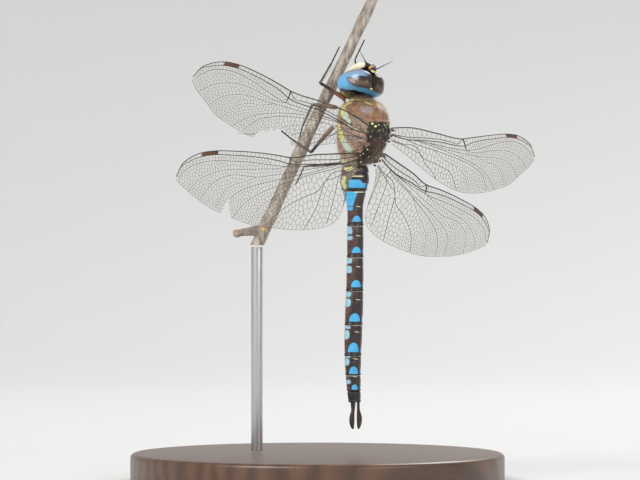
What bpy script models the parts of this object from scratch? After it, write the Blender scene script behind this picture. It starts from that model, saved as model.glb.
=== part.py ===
"""A life-size migrant hawker dragonfly, hanging head up under a cut length of twig on a stand.

World frame: +Z is up, the back faces -Y, the left side is -X, and the origin is the centre of
the base's underside. Lengths below are millimetres, and MM turns them into Blender's metres.
Places on the body are (x, y, height) from the body's axis and the tip of the tail.
"""

import math

import bmesh
import bpy
import numpy as np
from mathutils import Matrix, Vector

MM = 0.001
GAP = 0.3  # left between solids that meet

# Stand and perch
BASE_RADIUS = 32.0
BASE_THICKNESS = 5.0
BASE_BEVEL = 0.8
ROD_RADIUS = 1.0
BODY_PLACE = (4.0, -6.0)  # the body's axis over the base
TAIL_CLEARANCE = 4.0  # from the base's top to the tip of the tail
TWIG_RADIUS = 1.25
TWIG_CROSSING = (0.3, 6.2, 60.5)  # where the twig's axis passes under the head
TWIG_LEAN = (0.4, -0.254)  # sideways travel for each millimetre up
TWIG_ENDS = (31.5, 75.0)
STUB_HEIGHT = 34.2
STUB_REACH = (-5.0, 2.2, -0.7)

# Trunk: (height, x, y, half width, half depth) of its cross-sections
ABDOMEN_STATIONS = (
    (45.0, 0.0, 0.75, 2.10, 2.25),
    (43.9, 0.0, 0.85, 2.30, 2.40),
    (42.3, -0.05, 0.90, 2.45, 2.45),
    (40.8, -0.15, 0.80, 2.10, 2.05),
    (38.6, -0.30, 0.50, 1.48, 1.45),
    (34.8, -0.35, 0.35, 1.45, 1.30),
    (29.4, -0.38, 0.35, 1.48, 1.32),
    (23.7, -0.42, 0.42, 1.55, 1.38),
    (17.9, -0.55, 0.55, 1.62, 1.38),
    (12.7, -0.65, 0.62, 1.55, 1.25),
    (9.4, -0.62, 0.58, 1.42, 1.10),
    (6.7, -0.55, 0.48, 1.30, 0.95),
    (4.75, -0.45, 0.38, 1.15, 0.80),
)
SEGMENT_ENDS = (45.0, 43.9, 40.8, 34.8, 29.4, 23.7, 17.9, 12.7, 9.4, 6.7, 4.75)
SEGMENT_FLARE = 0.07  # how far each segment's hind rim stands out
THORAX_STATIONS = (
    (45.3, 0.0, 0.30, 2.30, 2.80),
    (46.0, 0.0, -0.15, 2.75, 3.45),
    (46.8, 0.0, -0.50, 3.00, 4.00),
    (48.0, 0.0, -0.85, 3.40, 4.75),
    (49.5, 0.0, -1.10, 3.60, 5.10),
    (51.0, 0.0, -1.30, 3.65, 5.35),
    (52.5, 0.0, -1.30, 3.65, 5.35),
    (54.0, 0.0, -1.20, 3.45, 4.95),
    (55.2, 0.0, -1.10, 2.95, 3.95),
    (55.8, 0.0, -1.15, 2.35, 2.75),
)
PROTHORAX_STATIONS = (
    (56.1, 0.0, -1.15, 1.95, 1.95),
    (56.3, 0.0, -1.10, 1.80, 1.85),
    (56.5, 0.0, -1.00, 1.30, 1.45),
)

# Head: places are from its own centre; it nods, tips to the right and turns a little
HEAD_CENTRE = (0.0, -1.0, 58.95)
HEAD_NOD = math.radians(-17.0)
HEAD_TIP = math.radians(14.0)
HEAD_TURN = math.radians(-3.0)
EYE_CENTRE = (1.76, -0.25, 0.0)
EYE_RADII = (2.13, 3.3, 1.88)
EYE_LEAN = math.radians(19.0)  # the eyes close together over the top of the head
EYE_SQUARENESS = 2.6  # above 2 the hind half of an eye is fuller than an ellipsoid
CORE_RADII = (2.9, 2.6, 1.85)
VERTEX_CENTRE = (0.0, -2.60, 1.70)
VERTEX_RADII = (0.85, 0.65, 0.85)
LABIUM_CENTRE = (0.0, 3.5, -0.3)
LABIUM_RADII = (1.75, 0.65, 1.35)
# (y, half width, top, underside) of the face's cross-sections
FACE_STATIONS = (
    (-2.50, 0.70, 2.95, 2.30),
    (-2.25, 1.25, 3.25, 1.95),
    (-1.60, 1.80, 3.55, 1.60),
    (-0.60, 2.10, 3.68, 1.40),
    (0.60, 2.25, 3.50, 1.30),
    (1.30, 2.25, 3.15, 1.25),
    (2.30, 2.15, 2.70, 1.15),
    (3.30, 1.75, 1.95, 0.95),
    (3.75, 1.20, 1.45, 0.90),
)
ANTENNA_ROOT = (0.95, -2.75, 2.1)
ANTENNA_REACH = (2.9, -0.9, 2.1)
ANTENNA_RADIUS = 0.26

# Wings: outlines are fractions of the length, forward and back of the line from root to tip
WING_THICKNESS = 0.5
WING_CAMBER = 0.02
FORE_LENGTH = 39.0
HIND_LENGTH = 38.5
FORE_LEADING = (
    (0.0, 0.010),
    (0.06, 0.024),
    (0.14, 0.037),
    (0.30, 0.042),
    (0.48, 0.044),
    (0.57, 0.062),
    (0.69, 0.084),
    (0.80, 0.098),
    (0.88, 0.095),
    (0.94, 0.075),
    (0.98, 0.045),
    (1.0, 0.006),
)
FORE_TRAILING = (
    (0.0, 0.060),
    (0.06, 0.076),
    (0.13, 0.098),
    (0.21, 0.128),
    (0.32, 0.165),
    (0.43, 0.190),
    (0.53, 0.194),
    (0.63, 0.182),
    (0.74, 0.157),
    (0.83, 0.126),
    (0.90, 0.080),
    (0.96, 0.042),
    (1.0, 0.006),
)
HIND_LEADING = (
    (0.0, 0.006),
    (0.14, 0.016),
    (0.24, 0.023),
    (0.38, 0.025),
    (0.46, 0.044),
    (0.58, 0.068),
    (0.70, 0.086),
    (0.80, 0.096),
    (0.87, 0.094),
    (0.93, 0.078),
    (0.975, 0.048),
    (1.0, 0.006),
)
HIND_TRAILING = (
    (0.0, 0.072),
    (0.03, 0.100),
    (0.055, 0.145),
    (0.075, 0.205),
    (0.10, 0.256),
    (0.14, 0.291),
    (0.20, 0.304),
    (0.30, 0.303),
    (0.47, 0.276),
    (0.60, 0.245),
    (0.73, 0.190),
    (0.82, 0.146),
    (0.90, 0.092),
    (0.96, 0.044),
    (1.0, 0.006),
)
FORE_ROOT = (2.45, -5.9, 51.0)
HIND_ROOT = (2.95, -3.3, 46.9)
# Each wing: direction of its tip, pitch of its hind edge towards the belly in degrees, and
# how far its middle bows back as a fraction of the length
WINGS = {
    "wing_fore_left": ((-0.981, -0.008, 0.194), 17.8, -0.02),
    "wing_fore_right": ((0.985, 0.138, -0.105), -2.6, 0.02),
    "wing_hind_left": ((-0.993, 0.019, -0.116), 8.2, 0.0),
    "wing_hind_right": ((0.875, 0.279, -0.396), 19.5, 0.0),
}
TORN_SPAN = (0.40, 0.59)  # stretch of the left forewing's hind edge that has broken away
TORN_DEPTH = 0.34  # share of the hind part of the wing that is gone there
NICK_SPAN = (0.715, 0.765)  # small tear in the left hindwing
NICK_DEPTH = 0.28

# Legs: hip, knee and either a grip on the twig (height, direction in degrees) or a free place
FEMUR_RADII = (0.52, 0.34, 0.42, 0.40, 0.34)
TIBIA_RADII = (0.29, 0.27, 0.26, 0.26)
TARSUS_RADII = (0.26, 0.25, 0.26, 0.25)
LEGS = {
    "front_left": ((-1.3, 1.75, 56.3), (-4.6, 4.6, 59.2), (62.9, 140), (65.6, 135)),
    "front_right": ((1.3, 1.75, 56.3), (4.2, 4.3, 58.9), (63.4, -42), (66.8, -40)),
    "mid_left": ((-1.7, 3.45, 55.0), (-3.85, 7.6, 55.6), (51.8, 112), (48.8, 80)),
    "mid_right": ((1.7, 3.45, 55.0), (3.4, 6.6, 54.6), (58.2, -40), (61.0, -20)),
    "hind_left": (
        (-1.7, 4.5, 51.8),
        (-4.6, 7.0, 47.4),
        (-9.4, 6.3, 49.5),
        (-12.1, 5.9, 50.9),
    ),
    "hind_right": ((1.7, 4.5, 51.8), (0.8, 5.3, 45.6), (45.0, -40), (42.0, -38)),
}
GRIP_CLEARANCE = 0.62  # from the twig's mean surface to a foot's axis

RING_SIDES = 16
EYE_SEGMENTS = (20, 12)
WING_COLUMNS = 28
WING_ROWS = 4

FINISHES = {
    "cuticle_dark": ((0.030, 0.020, 0.017, 1.0), 0.38, 0.0),
    "thorax_brown": ((0.19, 0.12, 0.045, 1.0), 0.6, 0.0),
    "eye_blue": ((0.10, 0.22, 0.34, 1.0), 0.12, 0.0),
    "face_cream": ((0.72, 0.70, 0.42, 1.0), 0.4, 0.0),
    "wing_clear": ((0.35, 0.31, 0.22, 1.0), 0.25, 0.0),
    "leg_black": ((0.015, 0.013, 0.013, 1.0), 0.35, 0.0),
    "twig_bark": ((0.42, 0.36, 0.29, 1.0), 0.85, 0.0),
    "stand_wood": ((0.05, 0.035, 0.025, 1.0), 0.4, 0.0),
    "stand_steel": ((0.55, 0.55, 0.56, 1.0), 0.3, 1.0),
}


def finish(name):
    """The Principled material of that name, made once."""
    if name in bpy.data.materials:
        return bpy.data.materials[name]
    colour, roughness, metallic = FINISHES[name]
    material = bpy.data.materials.new(name)
    material.use_nodes = True
    shader = material.node_tree.nodes["Principled BSDF"]
    shader.inputs["Base Color"].default_value = colour
    shader.inputs["Roughness"].default_value = roughness
    shader.inputs["Metallic"].default_value = metallic
    return material


def smooth_through(points):
    """A function of one number whose smooth graph passes through the (position, value) points."""
    xs = np.array([point[0] for point in points], float)
    ys = np.array([point[1] for point in points], float)
    if xs[0] > xs[-1]:
        xs, ys = xs[::-1], ys[::-1]
    slopes = np.gradient(ys, xs)

    def value(x):
        i = int(np.clip(np.searchsorted(xs, x) - 1, 0, len(xs) - 2))
        width = xs[i + 1] - xs[i]
        t = (x - xs[i]) / width
        rise = ys[i] * (1 + 2 * t) * (1 - t) ** 2 + ys[i + 1] * t * t * (3 - 2 * t)
        return rise + width * (slopes[i] * t * (1 - t) ** 2 - slopes[i + 1] * t * t * (1 - t))

    return value


def section_at(stations):
    """A function of the height that gives (x, y, half width, half depth) of a trunk's section."""
    curves = [smooth_through([(row[0], row[k]) for row in stations]) for k in range(1, 5)]
    return lambda height: [curve(height) for curve in curves]


def ring(height, x, y, half_x, half_y):
    """Points round a level elliptical section."""
    turns = [2 * math.pi * k / RING_SIDES for k in range(RING_SIDES)]
    return [
        Vector((x + half_x * math.cos(a), y + half_y * math.sin(a), height)) for a in turns
    ]


def add_object(name, mesh, material, collection, parent=None):
    """Puts a mesh in the scene, shaded smooth except at its sharp edges."""
    obj = bpy.data.objects.new(name, mesh)
    collection.objects.link(obj)
    obj.parent = parent
    if material:
        mesh.materials.append(finish(material))
    mesh.shade_smooth()
    mesh.set_sharp_from_angle(angle=math.radians(50))
    return obj


def mesh_from(name, build):
    """A closed mesh in metres from a function that fills a bmesh in millimetres."""
    shape = bmesh.new()
    build(shape)
    bmesh.ops.recalc_face_normals(shape, faces=shape.faces)
    bmesh.ops.scale(shape, vec=(MM, MM, MM), verts=shape.verts)
    mesh = bpy.data.meshes.new(name)
    shape.to_mesh(mesh)
    shape.free()
    return mesh


def loft(name, rings):
    """A mesh skinned over rings of equal count and closed by a face at each end."""

    def build(shape):
        rows = [[shape.verts.new(point) for point in row] for row in rings]
        count = len(rows[0])
        for lower, upper in zip(rows, rows[1:]):
            for k in range(count):
                j = (k + 1) % count
                shape.faces.new((lower[k], lower[j], upper[j], upper[k]))
        shape.faces.new(rows[0][::-1])
        shape.faces.new(rows[-1])

    return mesh_from(name, build)


def fill_out(shape, squareness):
    """Swells the lower half of a unit ball towards a box."""
    for vert in shape.verts:
        level = Vector((vert.co.x, vert.co.y)).length
        if vert.co.z < 0:
            power = level**squareness + abs(vert.co.z) ** squareness
            vert.co *= power ** (-1 / squareness)


def ellipsoid(name, centre, radii, lean=0.0, grow=0.0, detail=EYE_SEGMENTS, squareness=2.0):
    """An ellipsoid turned by lean about its upright axis; grow adds to each radius."""

    def build(shape):
        bmesh.ops.create_uvsphere(shape, u_segments=detail[0], v_segments=detail[1], radius=1)
        fill_out(shape, squareness)
        size = Matrix.Diagonal([radius + grow for radius in radii]).to_4x4()
        turn = Matrix.Rotation(lean, 4, "Z")
        place = Matrix.Translation(centre)
        bmesh.ops.transform(shape, matrix=place @ turn @ size, verts=shape.verts)

    return mesh_from(name, build)


def tube(name, points, radii, material, collection, parent):
    """A round limb along points, with its own radius at each."""
    curve = bpy.data.curves.new(name, "CURVE")
    curve.dimensions = "3D"
    curve.bevel_depth = MM
    curve.bevel_resolution = 2
    curve.use_fill_caps = True
    spline = curve.splines.new("POLY")
    spline.points.add(len(points) - 1)
    for point, place, radius in zip(spline.points, points, radii):
        point.co = (*(Vector(place) * MM), 1.0)
        point.radius = radius
    curve.materials.append(finish(material))
    obj = bpy.data.objects.new(name, curve)
    collection.objects.link(obj)
    obj.parent = parent
    return obj


def cut(obj, cutters, operation="DIFFERENCE"):
    """Adds one exact Boolean for each cutter."""
    for cutter in cutters:
        modifier = obj.modifiers.new(cutter.name, "BOOLEAN")
        modifier.operation = operation
        modifier.object = cutter


def add_helper(name, mesh, helpers, parent):
    """A cutter, drawn as wire and left out of the model."""
    obj = add_object(name, mesh, None, helpers, parent)
    obj.display_type = "WIRE"
    obj.hide_render = True
    return obj


def slice_of(name, section, low, high, steps, flare=0.0):
    """A mesh of the trunk between two heights; its lower rim flares out by flare."""
    rings = []
    for step in range(steps + 1):
        share = step / steps
        height = low + (high - low) * share
        x, y, half_x, half_y = section(height)
        rim = flare * (1 - share) ** 6
        rings.append(ring(height, x, y, half_x + rim, half_y + rim))
    return loft(name, rings)


def add_trunk(model, body):
    """The two thoracic pieces and the ten rings of the abdomen."""
    thorax = section_at(THORAX_STATIONS)
    low, high = THORAX_STATIONS[0][0], THORAX_STATIONS[-1][0]
    mesh = slice_of("synthorax", thorax, low, high, 13)
    add_object("synthorax", mesh, "thorax_brown", model, body)
    neck = section_at(PROTHORAX_STATIONS)
    low, high = PROTHORAX_STATIONS[0][0], PROTHORAX_STATIONS[-1][0]
    mesh = slice_of("prothorax", neck, low, high, 3)
    add_object("prothorax", mesh, "thorax_brown", model, body)
    abdomen = section_at(ABDOMEN_STATIONS)
    for number, (top, bottom) in enumerate(zip(SEGMENT_ENDS, SEGMENT_ENDS[1:]), 1):
        name = f"abdomen_{number:02d}"
        steps = 3 if top - bottom < 3 else 5
        mesh = slice_of(name, abdomen, bottom + GAP, top, steps, SEGMENT_FLARE)
        add_object(name, mesh, "cuticle_dark", model, body)


def add_tail(model, body):
    """Two leaf-shaped upper appendages and the shorter plate under them."""
    top = SEGMENT_ENDS[-1]
    x, y = section_at(ABDOMEN_STATIONS)(top)[:2]
    # (share of the length from the base, half width, distance from the middle)
    leaf = ((0.0, 0.32, 0.62), (0.25, 0.34, 0.62), (0.55, 0.62, 0.82), (0.8, 0.55, 0.8))
    leaf = (*leaf, (0.95, 0.3, 0.68), (1.0, 0.12, 0.6))
    for side, name in ((-1, "cercus_left"), (1, "cercus_right")):
        rings = [
            ring(top * (1 - share), x + side * out, y - 0.25, half, 0.27)
            for share, half, out in leaf
        ]
        add_object(name, loft(name, rings), "cuticle_dark", model, body)
    plate = ((0.0, 0.62, 0.27), (0.5, 0.45, 0.26), (1.0, 0.2, 0.25))
    reach = 2.4
    rings = [
        ring(top - reach * share, x, y + 0.42, half, depth) for share, half, depth in plate
    ]
    add_object("epiproct", loft("epiproct", rings), "cuticle_dark", model, body)


def face_rings(grow=0.0):
    """Rings of the face, which runs from the frons on top down to the mouth."""
    rings = []
    last = len(FACE_STATIONS) - 1
    for k, (y, half, top, under) in enumerate(FACE_STATIONS):
        y += grow * ((k == last) - (k == 0))
        middle = (top + under) / 2
        depth = (top - under) / 2 + grow
        rings.append([
            Vector((p.x, y, middle + p.y)) for p in ring(0.0, 0.0, 0.0, half + grow, depth)
        ])
    return rings


def add_eye(side, model, head):
    """One compound eye, cut flat where it meets the other."""
    centre = (side * EYE_CENTRE[0], EYE_CENTRE[1], EYE_CENTRE[2])
    name = "eye_left" if side < 0 else "eye_right"
    mesh = ellipsoid(name, centre, EYE_RADII, -side * EYE_LEAN, squareness=EYE_SQUARENESS)
    shape = bmesh.new()
    shape.from_mesh(mesh)
    cut_ring = bmesh.ops.bisect_plane(
        shape,
        geom=shape.verts[:] + shape.edges[:] + shape.faces[:],
        plane_co=(side * GAP / 2 * MM, 0, 0),
        plane_no=(-side, 0, 0),
        clear_outer=True,
    )["geom_cut"]
    edges = [part for part in cut_ring if isinstance(part, bmesh.types.BMEdge)]
    bmesh.ops.contextual_create(shape, geom=edges)
    bmesh.ops.recalc_face_normals(shape, faces=shape.faces)
    shape.to_mesh(mesh)
    shape.free()
    return add_object(name, mesh, "eye_blue", model, head)


def add_head(model, helpers, body):
    """Eyes, face, mouth plate, antennae and the capsule that holds them."""
    head = bpy.data.objects.new("head_turn", None)
    model.objects.link(head)
    head.parent = body
    head.location = Vector(HEAD_CENTRE) * MM
    head.rotation_euler = (HEAD_NOD, HEAD_TIP, HEAD_TURN)
    eye_room = []
    for side, word in ((-1, "left"), (1, "right")):
        add_eye(side, model, head)
        centre = (side * EYE_CENTRE[0], EYE_CENTRE[1], EYE_CENTRE[2])
        lean = -side * EYE_LEAN
        mesh = ellipsoid("room", centre, EYE_RADII, lean, GAP, squareness=EYE_SQUARENESS)
        eye_room.append(add_helper(f"eye_room_{word}", mesh, helpers, head))
    face_room = add_helper("face_room", loft("room", face_rings(GAP)), helpers, head)
    face = add_object("face", loft("face", face_rings()), "face_cream", model, head)
    knob = ellipsoid("vertex", VERTEX_CENTRE, VERTEX_RADII, detail=(12, 8))
    cut(face, [add_helper("vertex", knob, helpers, head)], "UNION")
    cut(face, eye_room)
    core = ellipsoid("head", (0, 0, 0), CORE_RADII)
    capsule = add_object("head", core, "cuticle_dark", model, head)
    cut(capsule, [*eye_room, face_room])
    mesh = ellipsoid("labium", LABIUM_CENTRE, LABIUM_RADII, detail=(16, 10))
    labium = add_object("labium", mesh, "face_cream", model, head)
    cut(labium, [*eye_room, face_room])
    for side, word in ((-1, "left"), (1, "right")):
        root = Vector((side * ANTENNA_ROOT[0], *ANTENNA_ROOT[1:]))
        reach = Vector((side * ANTENNA_REACH[0], *ANTENNA_REACH[1:]))
        root += reach.normalized() * GAP
        points = [root + reach * share for share in (0, 0.35, 0.7, 1)]
        radii = [ANTENNA_RADIUS] * len(points)
        tube(f"antenna_{word}", points, radii, "leg_black", model, head)


def bump(t, span):
    """1 in the middle of a span, falling to 0 at its ends and beyond."""
    u = (t - span[0]) / (span[1] - span[0])
    return math.sin(math.pi * u) ** 0.7 if 0 < u < 1 else 0.0


def add_wing(name, model, body):
    """One wing: a slightly cambered sheet between its two edges, thickened evenly."""
    fore, left = "fore" in name, "left" in name
    direction, pitch, bow = WINGS[name]
    root = Vector(FORE_ROOT if fore else HIND_ROOT)
    if left:
        root.x = -root.x
    length = FORE_LENGTH if fore else HIND_LENGTH
    span = Vector(direction).normalized()
    pitch = math.radians(pitch)
    back = Vector((0, math.sin(pitch), -math.cos(pitch)))
    back = (back - span * back.dot(span)).normalized()
    upward = span.cross(back) if left else back.cross(span)
    leading = smooth_through(FORE_LEADING if fore else HIND_LEADING)
    trailing = smooth_through(FORE_TRAILING if fore else HIND_TRAILING)
    torn, depth = (TORN_SPAN, TORN_DEPTH) if fore else (NICK_SPAN, NICK_DEPTH)

    def build(shape):
        grid = []
        for i in range(WING_COLUMNS + 1):
            t = (1 - math.cos(math.pi * i / WING_COLUMNS)) / 2
            hind = trailing(t)
            if left:
                hind *= 1 - depth * bump(t, torn)
            front = -leading(t)
            line = []
            for j in range(WING_ROWS + 1):
                v = j / WING_ROWS
                rise = math.sin(math.pi * t)
                chord = front + (hind - front) * v + bow * rise
                lift = WING_CAMBER * math.sin(math.pi * v) * rise
                place = span * t + back * chord + upward * lift
                line.append(shape.verts.new(root + place * length))
            grid.append(line)
        for near, far in zip(grid, grid[1:]):
            for j in range(WING_ROWS):
                shape.faces.new((near[j], near[j + 1], far[j + 1], far[j]))

    obj = add_object(name, mesh_from(name, build), "wing_clear", model, body)
    thickness = obj.modifiers.new("thickness", "SOLIDIFY")
    thickness.thickness = WING_THICKNESS * MM
    thickness.offset = 0
    return obj


def twig_axis(height):
    """The middle of the twig at a height."""
    x, y, crossing = TWIG_CROSSING
    rise = height - crossing
    sway = 0.35 * math.sin(rise / 6.5)
    return Vector((x + TWIG_LEAN[0] * rise + sway * 0.3, y + TWIG_LEAN[1] * rise, height))


def twig_radius(height):
    """The twig's radius, which swells at its nodes."""
    nodes = (36.0, 47.5, 58.0, 70.5)
    swell = sum(math.exp(-(((height - node) / 1.1) ** 2)) for node in nodes)
    return TWIG_RADIUS + 0.12 * swell - 0.004 * (height - TWIG_ENDS[0])


def grip(height, degrees):
    """Where a foot's axis lies beside the twig."""
    a = math.radians(degrees)
    reach = TWIG_RADIUS + GRIP_CLEARANCE
    return twig_axis(height) + Vector((math.cos(a), math.sin(a), 0)) * reach


def add_twig(model, helpers, body):
    """The cut length of twig with its broken side stub."""
    low, high = TWIG_ENDS
    steps = 30
    rings = []
    for step in range(steps + 1):
        height = low + (high - low) * step / steps
        centre, radius = twig_axis(height), twig_radius(height)
        row = []
        for k in range(12):
            a = 2 * math.pi * k / 12
            rough = 1 + 0.035 * math.sin(3 * a + height * 0.7) + 0.02 * math.sin(5 * a - height)
            out = Vector((math.cos(a), math.sin(a), 0)) * radius * rough
            row.append(centre + out)
        rings.append(row)
    twig = add_object("perch_twig", loft("perch_twig", rings), "twig_bark", model, body)
    start = twig_axis(STUB_HEIGHT)
    reach = Vector(STUB_REACH)
    across = reach.cross(Vector((0, 0, 1))).normalized()
    over = across.cross(reach).normalized()
    rings = []
    for share, radius in ((0.05, 1.1), (0.45, 0.85), (0.75, 0.7), (0.9, 0.8), (1.0, 0.55)):
        centre = start + reach * share
        turns = [2 * math.pi * k / 10 for k in range(10)]
        rings.append([centre + (across * math.cos(a) + over * math.sin(a)) * radius for a in turns])
    stub = add_helper("twig_stub", loft("twig_stub", rings), helpers, body)
    cut(twig, [stub], "UNION")


def limb(start, end, sag, count):
    """Points from start to end that bow by sag at the middle."""
    points = []
    for k in range(count):
        share = k / (count - 1)
        point = start.lerp(end, share)
        point.z += sag * 4 * share * (1 - share)
        points.append(point)
    return points


def shorten(start, end, distance):
    """Start moved towards end by a distance."""
    return start + (end - start).normalized() * distance


def add_leg(word, route, model, body):
    """Thigh, shin and foot of one leg, parted at the joints."""
    hip, knee, ankle, toe = [
        Vector(stop) if len(stop) == 3 else grip(*stop) for stop in route
    ]
    bend = (knee - hip).angle(ankle - knee)
    clear = GAP + (FEMUR_RADII[-1] + TIBIA_RADII[0]) * math.sin(bend / 2)
    shin_start = shorten(knee, ankle, clear)
    bend = (ankle - knee).angle(toe - ankle)
    clear = GAP + (TIBIA_RADII[-1] + TARSUS_RADII[0]) * math.sin(bend / 2)
    foot_start = shorten(ankle, toe, clear)
    pieces = (
        ("femur", limb(hip, knee, 0.1, 5), FEMUR_RADII),
        ("tibia", limb(shin_start, ankle, 0.05, 4), TIBIA_RADII),
        ("tarsus", limb(foot_start, toe, 0.0, 4), TARSUS_RADII),
    )
    for piece, points, radii in pieces:
        tube(f"{piece}_{word}", points, radii, "leg_black", model, body)


def add_stand(model):
    """The round base, and the rod up to the twig's lower end."""

    def disc(shape):
        bmesh.ops.create_cone(
            shape,
            cap_ends=True,
            segments=48,
            radius1=BASE_RADIUS,
            radius2=BASE_RADIUS,
            depth=BASE_THICKNESS,
        )

    base = add_object("stand_base", mesh_from("stand_base", disc), "stand_wood", model)
    base.location.z = BASE_THICKNESS / 2 * MM
    bevel = base.modifiers.new("rim", "BEVEL")
    bevel.width = BASE_BEVEL * MM
    bevel.segments = 2
    foot = twig_axis(TWIG_ENDS[0])
    low = BASE_THICKNESS + GAP
    high = BASE_THICKNESS + TAIL_CLEARANCE + TWIG_ENDS[0] - GAP

    def bar(shape):
        bmesh.ops.create_cone(
            shape,
            cap_ends=True,
            segments=16,
            radius1=ROD_RADIUS,
            radius2=ROD_RADIUS,
            depth=high - low,
        )

    rod = add_object("stand_rod", mesh_from("stand_rod", bar), "stand_steel", model)
    place = (BODY_PLACE[0] + foot.x, BODY_PLACE[1] + foot.y, (low + high) / 2)
    rod.location = Vector(place) * MM


def new_collection(name):
    """A collection linked to the scene."""
    collection = bpy.data.collections.new(name)
    bpy.context.scene.collection.children.link(collection)
    return collection


def main():
    for obj in list(bpy.data.objects):
        bpy.data.objects.remove(obj, do_unlink=True)
    model = new_collection("dragonfly")
    helpers = new_collection("cutters")
    body = bpy.data.objects.new("body_axis", None)
    model.objects.link(body)
    body.location = Vector((*BODY_PLACE, BASE_THICKNESS + TAIL_CLEARANCE)) * MM
    add_stand(model)
    add_twig(model, helpers, body)
    add_trunk(model, body)
    add_tail(model, body)
    add_head(model, helpers, body)
    for name in WINGS:
        add_wing(name, model, body)
    for word, route in LEGS.items():
        add_leg(word, route, model, body)


main()
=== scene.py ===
"""Looks of a life-size male migrant hawker dragonfly on its perch and stand.

Row frame: metres, +Z up, back of the insect towards -Y, left wings towards -X. Sizes below are
millimetres and MM turns them into metres. Places on the body are (x, y, height) from the body's
axis and the tip of the tail, as in the CAD source.
"""

import math

import bmesh
import bpy
import numpy as np
from mathutils import Matrix, Vector, noise
from mathutils.geometry import delaunay_2d_cdt


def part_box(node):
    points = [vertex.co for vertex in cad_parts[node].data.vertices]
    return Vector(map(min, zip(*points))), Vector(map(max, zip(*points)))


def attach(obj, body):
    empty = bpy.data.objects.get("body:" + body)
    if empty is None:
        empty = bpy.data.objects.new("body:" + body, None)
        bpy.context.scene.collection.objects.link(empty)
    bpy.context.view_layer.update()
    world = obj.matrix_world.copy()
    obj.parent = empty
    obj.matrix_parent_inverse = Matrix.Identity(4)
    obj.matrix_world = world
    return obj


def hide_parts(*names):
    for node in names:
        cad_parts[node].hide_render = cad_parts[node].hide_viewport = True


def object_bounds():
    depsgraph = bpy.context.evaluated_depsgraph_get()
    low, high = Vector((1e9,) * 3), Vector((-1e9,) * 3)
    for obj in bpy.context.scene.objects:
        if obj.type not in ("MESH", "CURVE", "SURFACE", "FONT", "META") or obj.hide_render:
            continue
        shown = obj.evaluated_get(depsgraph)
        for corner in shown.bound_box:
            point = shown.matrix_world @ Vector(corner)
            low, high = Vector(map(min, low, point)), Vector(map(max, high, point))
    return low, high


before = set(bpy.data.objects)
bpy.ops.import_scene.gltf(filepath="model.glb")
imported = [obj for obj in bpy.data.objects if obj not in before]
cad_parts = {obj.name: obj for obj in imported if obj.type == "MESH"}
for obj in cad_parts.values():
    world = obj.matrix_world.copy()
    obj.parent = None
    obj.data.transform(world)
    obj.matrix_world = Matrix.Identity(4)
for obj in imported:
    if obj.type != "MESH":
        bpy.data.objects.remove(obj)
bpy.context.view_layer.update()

MM = 0.001
UP = Vector((0, 0, 1))


def box_mm(*nodes):
    """Lowest and highest corner of several nodes together, in millimetres."""
    corners = [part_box(node) for node in nodes]
    low = np.min([np.array(low) for low, high in corners], axis=0) / MM
    high = np.max([np.array(high) for low, high in corners], axis=0) / MM
    return low, high


THORAX_SET_BACK = 1.3  # the middle of the thorax lies this far behind the body's axis
thorax_low, thorax_high = box_mm("synthorax")
tail_low = box_mm("cercus_left", "cercus_right")[0]
AXIS = np.array([
    (thorax_low[0] + thorax_high[0]) / 2,
    (thorax_low[1] + thorax_high[1]) / 2 + THORAX_SET_BACK,
    tail_low[2],
])

# ---------------------------------------------------------------- small tools


def smooth_through(points):
    """A function of arrays whose smooth graph passes through the (position, value) points."""
    xs, ys = np.array(points, float).T
    if xs[0] > xs[-1]:
        xs, ys = xs[::-1], ys[::-1]
    slopes = np.gradient(ys, xs)

    def value(x):
        x = np.asarray(x, float)
        i = np.clip(np.searchsorted(xs, x) - 1, 0, len(xs) - 2)
        width = xs[i + 1] - xs[i]
        t = np.clip((x - xs[i]) / width, 0, 1)
        rise = ys[i] * (1 + 2 * t) * (1 - t) ** 2 + ys[i + 1] * t * t * (3 - 2 * t)
        return rise + width * (slopes[i] * t * (1 - t) ** 2 - slopes[i + 1] * t * t * (1 - t))

    return value


def ramp(x, low, high):
    """0 below low, 1 above high and smooth between."""
    t = np.clip((np.asarray(x, float) - low) / (high - low), 0, 1)
    return t * t * (3 - 2 * t)


def unit(v):
    v = np.asarray(v, float)
    return v / np.linalg.norm(v, axis=-1, keepdims=True)


def add_piece(name, points, faces, edges=()):
    """A mesh object from points in body millimetres, its place in its mesh."""
    mesh = bpy.data.meshes.new(name)
    places = (np.asarray(points, float) + AXIS) * MM
    mesh.from_pydata(places.tolist(), [tuple(e) for e in edges], [tuple(f) for f in faces])
    if len(faces):
        mesh.shade_smooth()
    obj = bpy.data.objects.new(name, mesh)
    bpy.context.scene.collection.objects.link(obj)
    return obj


def give(obj, name, values):
    """Stores one number for each vertex."""
    attribute = obj.data.attributes.new(name, "FLOAT", "POINT")
    attribute.data.foreach_set("value", np.asarray(values, np.float32))


def plain_mesh(obj):
    """Turns an object with modifiers into one plain mesh and drops the modifiers."""
    evaluated = obj.evaluated_get(bpy.context.evaluated_depsgraph_get())
    mesh = bpy.data.meshes.new_from_object(evaluated)
    obj.modifiers.clear()
    obj.data = mesh
    mesh.name = obj.name
    return obj


def finish_piece(obj, material, nodes=()):
    """Paints a piece, hangs it on the body and lets it stand for CAD nodes."""
    if material is not None:
        obj.data.materials.clear()
        obj.data.materials.append(material)
    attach(obj, "root")
    if nodes:
        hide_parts(*nodes)


def close_up(obj, merge=1e-7, sliver=1e-9):
    """Merges doubled places, drops slivers and turns all faces outward; both sizes in metres."""
    shape = bmesh.new()
    shape.from_mesh(obj.data)
    bmesh.ops.remove_doubles(shape, verts=shape.verts, dist=merge)
    bmesh.ops.dissolve_degenerate(shape, edges=shape.edges, dist=sliver)
    bmesh.ops.recalc_face_normals(shape, faces=shape.faces)
    shape.to_mesh(obj.data)
    shape.free()
    obj.data.shade_smooth()


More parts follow.
